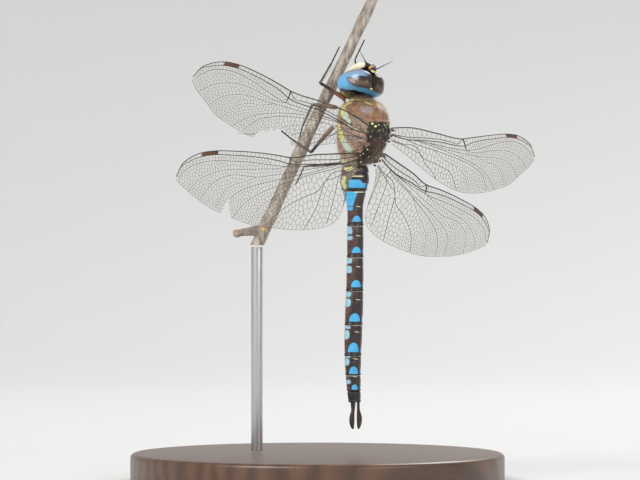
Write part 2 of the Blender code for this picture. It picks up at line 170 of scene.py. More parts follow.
def band_faces(rows, count):
    """Faces between neighbouring rings of count places each."""
    faces = []
    for i in range(rows - 1):
        for k in range(count):
            a, b = i * count + k, i * count + (k + 1) % count
            faces.append((a, b, b + count, a + count))
    return faces


def capped_faces(rows, count):
    """Faces of a tube of rings with a flat end on each side."""
    ends = [tuple(reversed(range(count))), tuple(range((rows - 1) * count, rows * count))]
    return band_faces(rows, count) + ends


def ball(centre, radii, columns=48, levels=30):
    """Places and faces of an ellipsoid with upright poles."""
    b, a = np.meshgrid(
        np.linspace(-math.pi / 2, math.pi / 2, levels + 1),
        np.linspace(0, 2 * math.pi, columns, endpoint=False), indexing="ij")
    places = np.stack([np.cos(a) * np.cos(b), np.sin(a) * np.cos(b), np.sin(b)], -1)
    return (places * radii + centre).reshape(-1, 3), band_faces(levels + 1, columns)


def turned(profile, middle, count):
    """Places and faces of a shape turned round an upright axis, from (radius, height) points."""
    turns = [2 * math.pi * k / count for k in range(count)]
    points = [
        (middle[0] + radius * math.cos(a), middle[1] + radius * math.sin(a), height)
        for radius, height in profile
        for a in turns
    ]
    return points, band_faces(len(profile), count)


def together(*shapes):
    """Several shapes, each as places and faces, as one."""
    faces, first = [], 0
    for places, corners in shapes:
        faces += [tuple(v + first for v in face) for face in corners]
        first += len(places)
    return np.vstack([places for places, _corners in shapes]), faces


def between(x, low, high):
    """Signed distance inside an interval, positive within."""
    return np.minimum(x - low, high - x)


def ridge(x, width):
    """A rounded bump of height 1 at 0."""
    return np.exp(-((x / width) ** 2))


def wrapped(degrees):
    return (degrees + 180) % 360 - 180


# ---------------------------------------------------------------- shader tools


def feed(tree, value, socket):
    """Joins a socket to another, or gives it a number or colour."""
    if isinstance(value, bpy.types.NodeSocket):
        tree.links.new(value, socket)
    elif socket.type == "RGBA":
        socket.default_value = (*value[:3], 1.0)
    else:
        socket.default_value = value


def add_node(tree, kind, **settings):
    """A node; settings are its properties, or sockets or values for its named inputs."""
    node = tree.nodes.new(kind)
    for key, value in settings.items():
        if key in node.bl_rna.properties:
            setattr(node, key, value)
        else:
            feed(tree, value, node.inputs[key.replace("_", " ")])
    return node


def math_node(tree, operation, first, second=0.0, clamp=False):
    """One Math node; first and second are sockets or numbers."""
    node = add_node(tree, "ShaderNodeMath", operation=operation, use_clamp=clamp)
    feed(tree, first, node.inputs[0])
    feed(tree, second, node.inputs[1])
    return node.outputs[0]


def mix_colour(tree, factor, first, second):
    """One colour mix; factor, first and second are sockets or values."""
    node = add_node(tree, "ShaderNodeMix", data_type="RGBA")
    for k, value in ((0, factor), (6, first), (7, second)):
        feed(tree, value, node.inputs[k])
    return node.outputs[2]


def new_group(kind, name, inputs, outputs):
    """An empty node group with named sockets: the tree, what it is given, and its end node."""
    tree = bpy.data.node_groups.new(name, kind)
    for label, sort, value in inputs:
        socket = tree.interface.new_socket(label, in_out="INPUT", socket_type=sort)
        if value is not None:
            socket.default_value = value
    for label, sort in outputs:
        tree.interface.new_socket(label, in_out="OUTPUT", socket_type=sort)
    return tree, tree.nodes.new("NodeGroupInput").outputs, tree.nodes.new("NodeGroupOutput")


def use_group(tree, group, **settings):
    """Places a shader group; settings are values or sockets for its inputs."""
    return add_node(tree, "ShaderNodeGroup", node_tree=group, **settings)


FLOAT, VECTOR, COLOUR = "NodeSocketFloat", "NodeSocketVector", "NodeSocketColor"
WHOLE, SHAPE, FINISH = "NodeSocketInt", "NodeSocketGeometry", "NodeSocketMaterial"


def make_mark_group():
    """Turns a field in millimetres, positive inside a mark, into a mask with a wavering edge."""
    tree, given, end = new_group(
        "ShaderNodeTree", "mark edge",
        (("Field", FLOAT, 0.0), ("Place", VECTOR, (0, 0, 0)), ("Softness", FLOAT, 0.08),
         ("Waver", FLOAT, 0.1), ("Scale", FLOAT, 3000.0)),
        (("Mask", FLOAT),),
    )
    clouds = add_node(tree, "ShaderNodeTexNoise", Vector=given["Place"], Scale=given["Scale"],
                      Detail=2.0)
    waver = math_node(tree, "SUBTRACT", clouds.outputs["Fac"], 0.5)
    waver = math_node(tree, "MULTIPLY", waver, given["Waver"])
    field = math_node(tree, "ADD", given["Field"], waver)
    field = math_node(tree, "DIVIDE", field, given["Softness"])
    feed(tree, math_node(tree, "ADD", field, 0.5, clamp=True), end.inputs["Mask"])
    return tree


def make_mottle_group():
    """Two colours mixed by coarse and fine noise."""
    tree, given, end = new_group(
        "ShaderNodeTree", "mottle",
        (("Place", VECTOR, (0, 0, 0)), ("Scale", FLOAT, 900.0), ("Contrast", FLOAT, 1.6),
         ("First", COLOUR, (0, 0, 0, 1)), ("Second", COLOUR, (1, 1, 1, 1))),
        (("Colour", COLOUR), ("Mask", FLOAT)),
    )
    clouds = add_node(tree, "ShaderNodeTexNoise", Vector=given["Place"], Scale=given["Scale"],
                      Detail=5.0, Roughness=0.62)
    share = math_node(tree, "SUBTRACT", clouds.outputs["Fac"], 0.5)
    share = math_node(tree, "MULTIPLY", share, given["Contrast"])
    mask = math_node(tree, "ADD", share, 0.5, clamp=True)
    feed(tree, mix_colour(tree, mask, given["First"], given["Second"]), end.inputs["Colour"])
    feed(tree, mask, end.inputs["Mask"])
    return tree


def make_grain_group():
    """Height of a fine pitted surface, for a Bump node."""
    tree, given, end = new_group(
        "ShaderNodeTree", "pitted grain",
        (("Place", VECTOR, (0, 0, 0)), ("Scale", FLOAT, 8000.0), ("Pits", FLOAT, 0.5)),
        (("Height", FLOAT),),
    )
    at = {"Vector": given["Place"], "Scale": given["Scale"]}
    clouds = add_node(tree, "ShaderNodeTexNoise", Detail=4.0, Roughness=0.6, **at)
    pits = add_node(tree, "ShaderNodeTexVoronoi", feature="SMOOTH_F1", **at)
    dents = math_node(tree, "MULTIPLY", pits.outputs["Distance"], given["Pits"])
    feed(tree, math_node(tree, "ADD", clouds.outputs["Fac"], dents), end.inputs["Height"])
    return tree


MARK = make_mark_group()
MOTTLE = make_mottle_group()
GRAIN = make_grain_group()


def new_material(name, roughness=0.4, **constants):
    """(material, tree, Principled node, object coordinates); constants go straight on sockets."""
    material = bpy.data.materials.new(name)
    material.use_nodes = True
    tree = material.node_tree
    shader = tree.nodes["Principled BSDF"]
    shader.inputs["Roughness"].default_value = roughness
    for key, value in constants.items():
        shader.inputs[key.replace("_", " ")].default_value = value
    place = tree.nodes.new("ShaderNodeTexCoord").outputs["Object"]
    return material, tree, shader, place


def add_bump(tree, shader, height, depth_mm, strength=1.0):
    """Feeds a height through a Bump node into the shader."""
    bump = add_node(tree, "ShaderNodeBump", Height=height, Strength=strength,
                    Distance=depth_mm * MM)
    feed(tree, bump.outputs["Normal"], shader.inputs["Normal"])


def read_field(tree, name):
    """A vertex number as a socket."""
    return add_node(tree, "ShaderNodeAttribute", attribute_name=name).outputs["Fac"]


def paint(red, green, blue):
    """A colour given as on a paint chart, 0 to 255, turned into light values."""
    shares = np.array([red, green, blue]) / 255
    low = shares / 12.92
    high = ((shares + 0.055) / 1.055) ** 2.4
    return tuple(float(v) for v in np.where(shares <= 0.04045, low, high))


def mottled(tree, place, first, second, scale=900.0, contrast=1.6):
    """Two chart colours mottled into each other."""
    return use_group(tree, MOTTLE, Place=place, Scale=scale, Contrast=contrast,
                     First=paint(*first), Second=paint(*second)).outputs["Colour"]


def lay_marks(tree, place, colour, rows):
    """Lays marks over a colour one after another. A row is a field, a finish (one chart colour,
    what mottled takes, or a socket), the edge's softness and waver, and the waver's scale."""
    for field, finish, softness, waver, *scale in rows:
        if isinstance(finish, tuple):
            plain = isinstance(finish[0], int)
            finish = paint(*finish) if plain else mottled(tree, place, *finish)
        mask = use_group(tree, MARK, Field=read_field(tree, field), Place=place,
                         Softness=softness, Waver=waver, Scale=scale[0] if scale else 2600.0)
        colour = mix_colour(tree, mask.outputs["Mask"], colour, finish)
    return colour


def stretched(tree, place, scale):
    """Coordinates scaled differently each way, for grain that runs one way."""
    return add_node(tree, "ShaderNodeMapping", Vector=place, Scale=scale).outputs["Vector"]


def finish_shell(tree, shader, place, colour, scale, pits, depth, strength=0.6):
    """Feeds a colour and a fine pitted bump, its depth in millimetres, into a shader."""
    feed(tree, colour, shader.inputs["Base Color"])
    grain = use_group(tree, GRAIN, Place=place, Scale=scale, Pits=pits)
    add_bump(tree, shader, grain.outputs["Height"], depth, strength)


def make_shell(name, roughness, base, marks, grain, **constants):
    """Body shell: base is what mottled takes, marks lie over it, and grain is its pitting."""
    material, tree, shader, place = new_material(name, roughness, **constants)
    colour = lay_marks(tree, place, mottled(tree, place, *base), marks)
    finish_shell(tree, shader, place, colour, *grain)
    return material


def make_plain_shell(name, first, second, roughness=0.38):
    """Body shell without marks, in two mottled colours."""
    return make_shell(name, roughness, (first, second, 1600.0, 1.8), (), (7000.0, 0.6, 0.012))


# ---------------------------------------------------------------- wings

FORE_LENGTH = 38.93  # a vein's radius inside the solid wing
HIND_LENGTH = 38.43
WING_CAMBER = 0.02
# Edges of a wing, as fractions of its length forward and back of the line from root to tip
FORE_LEADING = (
    (0.0, 0.010), (0.06, 0.024), (0.14, 0.037), (0.30, 0.042), (0.48, 0.044), (0.57, 0.062),
    (0.69, 0.084), (0.80, 0.098), (0.88, 0.095), (0.94, 0.075), (0.98, 0.045), (1.0, 0.006),
)
FORE_TRAILING = (
    (0.0, 0.060), (0.06, 0.076), (0.13, 0.098), (0.21, 0.128), (0.32, 0.165), (0.43, 0.190),
    (0.53, 0.194), (0.63, 0.182), (0.74, 0.157), (0.83, 0.126), (0.90, 0.080), (0.96, 0.042),
    (1.0, 0.006),
)
HIND_LEADING = (
    (0.0, 0.006), (0.14, 0.016), (0.24, 0.023), (0.38, 0.025), (0.46, 0.044), (0.58, 0.068),
    (0.70, 0.086), (0.80, 0.096), (0.87, 0.094), (0.93, 0.078), (0.975, 0.048), (1.0, 0.006),
)
HIND_TRAILING = (
    (0.0, 0.072), (0.03, 0.100), (0.055, 0.145), (0.075, 0.205), (0.10, 0.256), (0.14, 0.291),
    (0.20, 0.304), (0.30, 0.303), (0.47, 0.276), (0.60, 0.245), (0.73, 0.190), (0.82, 0.146),
    (0.90, 0.092), (0.96, 0.044), (1.0, 0.006),
)
# Long veins from front to back, each with its thickness at its base and tip, its height (ridges
# stand up, furrows lie low) and its path: fractions of the length, and millimetres behind the
# front edge for the first two, behind the line from root to tip for the others.
FROM_FRONT_EDGE = ("subcosta", "radius")
END_IN_FRONT = (*FROM_FRONT_EDGE, "radial_posterior")
FORE_VEINS = (
    ("subcosta", 0.075, 0.05, -0.20,
     ((0.0, 1.0), (0.05, 1.4), (0.1, 1.65), (0.2, 1.45), (0.3, 1.0), (0.4, 0.85), (0.46, 0.8),
      (0.486, 0.0))),
    ("radius", 0.11, 0.05, 0.12,
     ((0.0, 1.2), (0.05, 1.75), (0.1, 2.1), (0.2, 1.9), (0.3, 1.5), (0.4, 1.35), (0.485, 1.25),
      (0.55, 0.85), (0.62, 0.72), (0.7, 0.68), (0.8, 0.6), (0.88, 0.58), (0.94, 0.45),
      (0.985, 0.0))),
    ("radial_posterior", 0.06, 0.035, -0.10,
     ((0.115, 0.75), (0.2, 0.55), (0.3, 0.42), (0.4, 0.42), (0.485, 0.34), (0.55, -0.05),
      (0.6, -0.55), (0.7, -1.7), (0.8, -2.45), (0.88, -2.4), (0.95, -1.4), (0.985, -0.2))),
    ("second_branch", 0.045, 0.03, -0.06,
     ((0.5, 0.3), (0.55, 0.45), (0.62, 0.0), (0.7, -0.55), (0.78, -0.75), (0.85, -0.3),
      (0.91, 0.7), (0.945, 1.9))),
    ("between_branch", 0.045, 0.03, 0.06,
     ((0.24, 0.5), (0.32, 0.78), (0.45, 0.95), (0.6, 0.95), (0.7, 0.75), (0.76, 0.95),
      (0.83, 2.0), (0.875, 3.7))),
    ("branch_support", 0.035, 0.025, 0.02,
     ((0.56, 0.95), (0.62, 1.7), (0.7, 2.05), (0.75, 3.1), (0.79, 5.5))),
    ("third_branch", 0.05, 0.03, -0.07,
     ((0.17, 0.65), (0.25, 0.85), (0.35, 1.2), (0.45, 1.7), (0.55, 2.5), (0.63, 3.6),
      (0.69, 5.2), (0.715, 6.4))),
    ("media", 0.055, 0.03, 0.08,
     ((0.105, 1.05), (0.17, 1.35), (0.25, 1.5), (0.35, 1.75), (0.45, 2.25), (0.55, 3.15),
      (0.62, 4.5), (0.665, 6.8))),
    ("media_support", 0.035, 0.025, 0.0,
     ((0.27, 1.5), (0.33, 2.6), (0.42, 3.5), (0.49, 4.9), (0.54, 7.5))),
    ("posterior_media", 0.06, 0.03, -0.08,
     ((0.0, 1.55), (0.08, 1.8), (0.155, 1.7), (0.165, 1.85), (0.198, 3.1), (0.24, 3.5),
      (0.32, 4.0), (0.40, 5.0), (0.455, 7.4))),
    ("cubitus", 0.055, 0.03, 0.05,
     ((0.0, 1.8), (0.1, 2.15), (0.15, 2.5), (0.2, 3.15), (0.215, 3.9), (0.26, 4.9), (0.31, 6.3))),
)
HIND_VEINS = (
    ("subcosta", 0.075, 0.05, -0.20,
     ((0.0, 0.55), (0.1, 0.95), (0.2, 0.95), (0.3, 0.75), (0.36, 0.65), (0.382, 0.0))),
    ("radius", 0.115, 0.05, 0.12,
     ((0.0, 1.1), (0.06, 1.55), (0.12, 1.8), (0.2, 1.75), (0.3, 1.35), (0.38, 1.1), (0.45, 0.9),
      (0.5, 0.8), (0.6, 0.72), (0.7, 0.68), (0.8, 0.6), (0.88, 0.58), (0.94, 0.45),
      (0.985, 0.0))),
    ("radial_posterior", 0.06, 0.035, -0.10,
     ((0.095, 1.3), (0.2, 1.2), (0.3, 0.85), (0.38, 0.5), (0.43, 0.3), (0.5, -0.25),
      (0.6, -1.05), (0.7, -1.65), (0.8, -2.1), (0.88, -2.0), (0.95, -1.2), (0.985, -0.2))),
    ("second_branch", 0.045, 0.03, -0.06,
     ((0.40, 0.4), (0.45, 0.55), (0.55, 0.25), (0.65, -0.1), (0.75, -0.4), (0.83, 0.0),
      (0.9, 1.1), (0.935, 2.4))),
    ("between_branch", 0.045, 0.03, 0.06,
     ((0.16, 1.3), (0.22, 1.35), (0.3, 1.4), (0.4, 1.5), (0.5, 1.5), (0.58, 1.45),
      (0.64, 1.0), (0.70, 0.6), (0.76, 0.75), (0.82, 1.7), (0.875, 4.0))),
    ("branch_support", 0.035, 0.025, 0.02,
     ((0.585, 1.45), (0.64, 1.95), (0.71, 2.3), (0.76, 3.4), (0.80, 5.9))),
    ("third_branch", 0.05, 0.03, -0.07,
     ((0.13, 1.45), (0.2, 1.75), (0.3, 2.05), (0.4, 2.25), (0.5, 2.5), (0.6, 2.85),
      (0.68, 3.6), (0.73, 4.9), (0.76, 6.9))),
    ("media", 0.055, 0.03, 0.08,
     ((0.09, 1.6), (0.15, 1.95), (0.22, 2.15), (0.28, 2.3), (0.35, 2.7), (0.44, 3.2),
      (0.52, 3.75), (0.6, 4.7), (0.66, 6.0), (0.705, 8.0))),
    ("media_support", 0.035, 0.025, 0.0,
     ((0.33, 2.6), (0.4, 4.1), (0.5, 5.4), (0.57, 7.0), (0.62, 9.3))),
    ("posterior_media", 0.06, 0.03, -0.08,
     ((0.0, 1.95), (0.05, 2.4), (0.145, 2.6), (0.155, 2.75), (0.197, 4.0), (0.23, 5.1),
      (0.3, 5.8), (0.4, 6.9), (0.47, 8.3), (0.53, 10.3))),
    ("cubitus", 0.055, 0.03, 0.05,
     ((0.0, 2.25), (0.1, 3.1), (0.15, 3.55), (0.2, 4.15), (0.225, 6.2), (0.24, 7.6),
      (0.27, 9.5), (0.31, 11.7))),
    ("anal", 0.05, 0.03, -0.04,
     ((0.10, 3.1), (0.115, 3.6), (0.13, 5.6), (0.15, 8.0), (0.18, 11.6))),
    ("inner_anal", 0.045, 0.03, 0.03,
     ((0.035, 2.6), (0.046, 3.4), (0.062, 5.4), (0.082, 8.4))),
)
FORE_ROOT = (2.45, -5.9, 51.0)
HIND_ROOT = (2.95, -3.3, 46.9)
# Tip direction, pitch of the hind edge towards the belly in degrees, and backward bow
WINGS = {
    "wing_fore_left": ((-0.981, -0.008, 0.194), 17.8, -0.02),
    "wing_fore_right": ((0.985, 0.138, -0.105), -2.6, 0.02),
    "wing_hind_left": ((-0.993, 0.019, -0.116), 8.2, 0.0),
    "wing_hind_right": ((0.875, 0.279, -0.396), 19.5, 0.0),
}
FRONT_VEIN = (0.13, 0.07)  # radius of the front edge's vein at root and tip
MARGIN_VEIN = 0.03
CROSS_VEIN = 0.026
STIGMA = {"fore": (0.79, 0.87), "hind": (0.775, 0.865)}  # dark cell near the tip
NODUS = {"fore": 0.486, "hind": 0.382}  # joint halfway along the front edge
ARCULUS = {"fore": 0.108, "hind": 0.092}  # stout cross vein near the root


class Wing:
    """Shape, veins and place of one wing."""

    def __init__(self, name):
        self.name = name
        self.kind = "fore" if "fore" in name else "hind"
        self.left = name.endswith("left")
        fore = self.kind == "fore"
        self.length = FORE_LENGTH if fore else HIND_LENGTH
        leading = smooth_through(FORE_LEADING if fore else HIND_LEADING)
        trailing = smooth_through(FORE_TRAILING if fore else HIND_TRAILING)
        self.front = lambda t: -leading(t) * self.length
        self.hind = lambda t: trailing(t) * self.length
        direction, pitch, self.bow = WINGS[name]
        root = Vector(FORE_ROOT if fore else HIND_ROOT)
        if self.left:
            root.x = -root.x
        self.root = np.array(root)
        span = Vector(direction).normalized()
        pitch = math.radians(pitch)
        back = Vector((0, math.sin(pitch), -math.cos(pitch)))
        back = (back - span * back.dot(span)).normalized()
        upward = span.cross(back) if self.left else back.cross(span)
        self.span, self.back, self.upward = np.array(span), np.array(back), np.array(upward)
        self.courses = self.make_courses(FORE_VEINS if fore else HIND_VEINS)

    def make_courses(self, veins):
        """Each vein as a function over the whole wing: before it parts from the vein in front it
        runs along that one, and after it has reached an edge it runs along the edge."""
        self.grid = grid = np.linspace(0, 1, 401)
        front, hind = self.front(grid), self.hind(grid)
        lines, courses = [front], []
        for name, base, tip, _height, points in veins:
            start, end = points[0][0], points[-1][0]
            line = smooth_through(points)(grid) + (front if name in FROM_FRONT_EDGE else 0)
            line = np.where(grid < start, lines[-1], line)
            line = np.where(grid > end, front if name in END_IN_FRONT else hind, line)
            lines.append(np.clip(np.maximum(line, lines[-1]), front, hind))
            courses.append((start, end, base, tip))
        self.lines = np.array(lines + [hind])
        self.heights = np.array([0.05] + [row[3] for row in veins] + [0.0])
        return courses

    def lines_at(self, t):
        """Places of the front edge, the courses and the hind edge at fractions t of the length."""
        return np.array([np.interp(t, self.grid, line) for line in self.lines])

    def region(self, points):
        """Which strip between two courses each point lies in."""
        lines = self.lines_at(points[:, 0] / self.length)
        return (points[:, 1][None] > lines).sum(0)

    def place(self, points, lift=0.0):
        """Body places of (along, back) points in millimetres on the pleated wing."""
        t = np.clip(points[:, 0] / self.length, 0, 1)
        lines = self.lines_at(t)
        width = np.maximum(lines[-1] - lines[0], 1e-6)
        v = np.clip((points[:, 1] - lines[0]) / width, 0, 1)
        rise = np.sin(math.pi * t)
        height = np.array([
            np.interp(c, line, self.heights) for c, line in zip(points[:, 1], spread(lines.T))
        ])
        fade = 1 - 0.75 * t
        camber = WING_CAMBER * np.sin(math.pi * v) * rise * self.length
        total = camber + height * fade + lift
        back = points[:, 1] + self.bow * rise * self.length
        return (
            self.root
            + self.span * points[:, :1]
            + self.back * back[:, None]
            + self.upward * total[:, None]
        )


def spread(rows):
    """Rows of places made strictly increasing, so that they can be interpolated between."""
    return rows + np.arange(rows.shape[1]) * 1e-7


def cell_size(wing, points):
    """Wanted distance between the middles of neighbouring cells, in millimetres."""
    t = points[:, 0] / wing.length
    lines = wing.lines_at(t)
    v = (points[:, 1] - lines[0]) / np.maximum(lines[-1] - lines[0], 1e-6)
    base = 1.15 if wing.kind == "hind" else 1.0
    size = base - (base - 0.52) * ramp(t, 0.16, 0.62)
    size -= 0.12 * ramp(v, 0.5, 1.0)
    near_front = points[:, 1] < lines[2] + 0.02
    size = np.where(near_front, 1.15 - 0.4 * ramp(t, 0.3, 0.6), size)
    return np.maximum(size, 0.44)


def scatter_seeds(wing, rng):
    """Middles of the cells, no two closer than the wanted distance within one strip."""
    count = 26000
    points = np.column_stack([
        rng.uniform(0.05, wing.length - 0.1, count),
        rng.uniform(wing.lines[0].min(), wing.lines[-1].max(), count),
    ])
    region = wing.region(points)
    last = len(wing.lines)
    lines = wing.lines_at(points[:, 0] / wing.length)
    gap = np.abs(lines - points[:, 1]).min(0)
    keep = (region > 0) & (region < last) & (gap > 0.08)
    points, region = points[keep], region[keep]
    size = cell_size(wing, points)
    chosen, buckets = [], {}
    for i, (point, strip, reach) in enumerate(zip(points, region, size * 0.86)):
        key = (int(point[0] // 1.2), int(point[1] // 1.2))
        near = [
            j
            for a in (-1, 0, 1)
            for b in (-1, 0, 1)
            for j in buckets.get((key[0] + a, key[1] + b), ())
            if region[j] == strip
        ]
        if near and (((points[near] - point) ** 2).sum(1) < reach * reach).any():
            continue
        chosen.append(i)
        buckets.setdefault(key, []).append(i)
    return points[chosen]


def outside_seeds(wing, seeds):
    """Mirror images of the seeds along the edges, so that the outer cells are closed."""
    grid = wing.grid * wing.length
    images, labels = [], []
    for line, label in ((wing.lines[0], 0), (wing.lines[-1], len(wing.lines))):
        edge = np.column_stack([grid, line])
        offsets = seeds[:, None] - edge[None, ::2]
        nearest = (offsets**2).sum(2).argmin(1)
        foot = edge[::2][nearest]
        reach = np.linalg.norm(seeds - foot, axis=1)
        close = reach < 1.6
        images.append(2 * foot[close] - seeds[close])
        labels.append(np.full(close.sum(), label))
    root = seeds[seeds[:, 0] < 1.4]
    images.append(np.column_stack([-root[:, 0], root[:, 1]]))
    labels.append(np.full(len(root), -1))
    tip = seeds[seeds[:, 0] > wing.length - 1.2]
    images.append(np.column_stack([2 * wing.length - tip[:, 0], tip[:, 1]]))
    labels.append(np.full(len(tip), -2))
    return np.vstack(images), np.concatenate(labels)


def centre_of_circle(a, b, c):
    """Middles of the circles through three points each."""
    ab, ac = b - a, c - a
    cross = 2 * (ab[:, 0] * ac[:, 1] - ab[:, 1] * ac[:, 0])
    cross = np.where(np.abs(cross) < 1e-9, 1e-9, cross)
    ab2, ac2 = (ab**2).sum(1), (ac**2).sum(1)
    x = (ac[:, 1] * ab2 - ab[:, 1] * ac2) / cross
    y = (ab[:, 0] * ac2 - ac[:, 0] * ab2) / cross
    return a + np.column_stack([x, y])


def nearest_on(line, points):
    """Nearest places on a polyline."""
    a, b = line[:-1], line[1:]
    d = b - a
    t = ((points[:, None] - a) * d).sum(2) / np.maximum((d * d).sum(1), 1e-12)
    foot = a + np.clip(t, 0, 1)[..., None] * d
    best = ((foot - points[:, None]) ** 2).sum(2).argmin(1)
    return foot[np.arange(len(points)), best]


def divide(wing, seeds):
    """Cells round the seeds: corner places, the corners round each seed, and the borders
    between neighbours that no long vein parts."""
    images, image_strips = outside_seeds(wing, seeds)
    points = np.vstack([seeds, images])
    strips = np.concatenate([wing.region(seeds), image_strips])
    found = delaunay_2d_cdt([Vector(p) for p in points], [], [], 0, 1e-6)
    triangles = np.array(found[2])
    corners = centre_of_circle(*points[triangles.T])
    kinds = np.sort(strips[triangles], axis=1)
    low, high = kinds[:, 0], kinds[:, 2]
    for k in range(len(wing.lines)):
        on_line = (low >= 0) & (low <= k) & (high > k)
        if on_line.any():
            line = np.column_stack([wing.grid * wing.length, wing.lines[k]])
            corners[on_line] = nearest_on(line, corners[on_line])
    at_root, at_tip = low == -1, low == -2
    corners[at_root, 0] = 0.0
    corners[at_tip, 0] = np.minimum(corners[at_tip, 0], wing.length)
    t = np.clip(corners[:, 0] / wing.length, 0, 1)
    lines = wing.lines_at(t)
    corners[:, 0] = t * wing.length
    corners[:, 1] = np.clip(corners[:, 1], lines[0], lines[-1])
    around = [[] for _ in seeds]
    shared = {}
    for number, triangle in enumerate(triangles):
        for k in range(3):
            a, b = sorted((int(triangle[k]), int(triangle[(k + 1) % 3])))
            shared.setdefault((a, b), []).append(number)
            if triangle[k] < len(seeds):
                around[triangle[k]].append(number)
    borders = [
        (a, b, *sides)
        for (a, b), sides in shared.items()
        if len(sides) == 2 and b < len(seeds) and strips[a] == strips[b]
    ]
    rings = []
    for seed, numbers in zip(seeds, around):
        off = corners[numbers] - seed
        rings.append([numbers[k] for k in np.argsort(np.arctan2(off[:, 1], off[:, 0]))])
    return corners, rings, borders


def settle(wing, seeds, rounds=4):
    """Moves each seed to the middle of its cell a few times, which evens the net out."""
    for _ in range(rounds):
        corners, rings, _borders = divide(wing, seeds)
        moved = seeds.copy()
        for k, ring in enumerate(rings):
            moved[k] = middle_of(corners[ring])
        same = wing.region(moved) == wing.region(seeds)
        seeds = np.where(same[:, None], moved, seeds)
    return seeds


def middle_of(polygon):
    """Centroid of a flat polygon."""
    x, y = polygon.T
    nx, ny = np.roll(x, -1), np.roll(y, -1)
    cross = x * ny - nx * y
    area = cross.sum()
    if abs(area) < 1e-9:
        return polygon.mean(0)
    return np.array([((x + nx) * cross).sum(), ((y + ny) * cross).sum()]) / (3 * area)


# The worn hind edges: (share of the length, share of the chord that is left) round each loss
WORN = {
    "wing_fore_left": ((0.36, 1.0), (0.385, 0.93), (0.40, 0.80), (0.43, 0.77), (0.455, 0.70),
                       (0.475, 0.70), (0.52, 0.74), (0.56, 0.82), (0.59, 0.92), (0.597, 1.0)),
    "wing_hind_left": ((0.712, 1.0), (0.718, 0.83), (0.733, 0.74), (0.744, 0.82), (0.757, 1.0)),
}


def worn_edge(wing, t):
    """How far back a worn wing still reaches, at fractions t of its length."""
    lines = wing.lines_at(t)
    return lines[0] + (lines[-1] - lines[0]) * np.interp(t, *np.array(WORN[wing.name]).T)


def is_lost(wing, points):
    """Which places have broken away from a worn wing."""
    if wing.name not in WORN:
        return np.zeros(len(points), bool)
    first, last = WORN[wing.name][0][0], WORN[wing.name][-1][0]
    t = points[:, 0] / wing.length
    return (t > first) & (t < last) & (points[:, 1] > worn_edge(wing, t))


class Net:
    """Paths of veins to be made into tubes: places, links and thickness."""

    def __init__(self):
        self.places, self.links, self.radii = [], [], []

    def add_path(self, places, radii):
        first = len(self.places)
        self.places.extend(np.asarray(places).tolist())
        self.radii.extend(np.broadcast_to(radii, len(places)).tolist())
        self.links.extend((first + k, first + k + 1) for k in range(len(places) - 1))


def stretches(keep):
    """Runs of consecutive true values, as (first, after last)."""
    marks = np.flatnonzero(np.diff(np.concatenate([[0], keep.astype(int), [0]])))
    return list(zip(marks[::2], marks[1::2]))


def add_long_veins(wing, net):
    """The courses, the thick front edge and the thin margin."""
    steps = np.linspace(0, 1, 131)
    lines = wing.lines_at(steps)
    along = steps * wing.length
    rows = [(0.0, 1.0, *FRONT_VEIN), *wing.courses, (0.0, 1.0, MARGIN_VEIN, MARGIN_VEIN)]
    for (start, end, base, tip), line in zip(rows, lines):
        points = np.column_stack([along, line])
        keep = (steps >= start - 0.008) & (steps <= end + 0.004) & ~is_lost(wing, points)
        for first, last in stretches(keep):
            if last - first > 1:
                run = points[first:last]
                share = steps[first:last]
                net.add_path(wing.place(run), base + (tip - base) * share)


def add_nodus(wing, net):
    """The joint of the front edge, and the stout cross vein near the root."""
    t = NODUS[wing.kind]
    lines = wing.lines_at(np.array([t, t + 0.006, t + 0.012]))
    ends = np.array([
        [t * wing.length, lines[0][0]],
        [(t + 0.006) * wing.length, lines[2][1]],
        [(t + 0.012) * wing.length, lines[3][2]],
    ])
    net.add_path(wing.place(ends), (0.12, 0.10, 0.06))
    t = ARCULUS[wing.kind]
    lines = wing.lines_at(np.array([t]))[:, 0]
    points = np.column_stack([np.full(4, t * wing.length), np.linspace(lines[2], lines[-4], 4)])
    net.add_path(wing.place(points), 0.05)


def add_threads(wing, net, rng):
    """Loose ends of broken veins along a worn edge."""
    if wing.name != "wing_fore_left":
        return
    for start, reach, drop in ((0.592, -3.4, 0.9), (0.585, -2.3, 1.3), (0.45, 0.8, 1.1)):
        s = np.linspace(0, 1, 7)
        points = np.column_stack([
            start * wing.length - reach * s,
            worn_edge(wing, start) + drop * np.sin(s * 2.0) * 0.5 + rng.normal(0, 0.04, 7),
        ])
        net.add_path(wing.place(points), CROSS_VEIN)


def end_shape(tree, end, shape, material):
    """Ends a Geometry Nodes tree: instances made real, then the material."""
    real = add_node(tree, "GeometryNodeRealizeInstances", Geometry=shape)
    painted = add_node(tree, "GeometryNodeSetMaterial", Geometry=real.outputs["Geometry"],
                       Material=material)
    feed(tree, painted.outputs["Geometry"], end.inputs["Geometry"])


def named_field(tree, name, kind="FLOAT"):
    """A mesh's named attribute as a socket of a Geometry Nodes tree."""
    node = add_node(tree, "GeometryNodeInputNamedAttribute", data_type=kind, Name=name)
    return node.outputs["Attribute"]


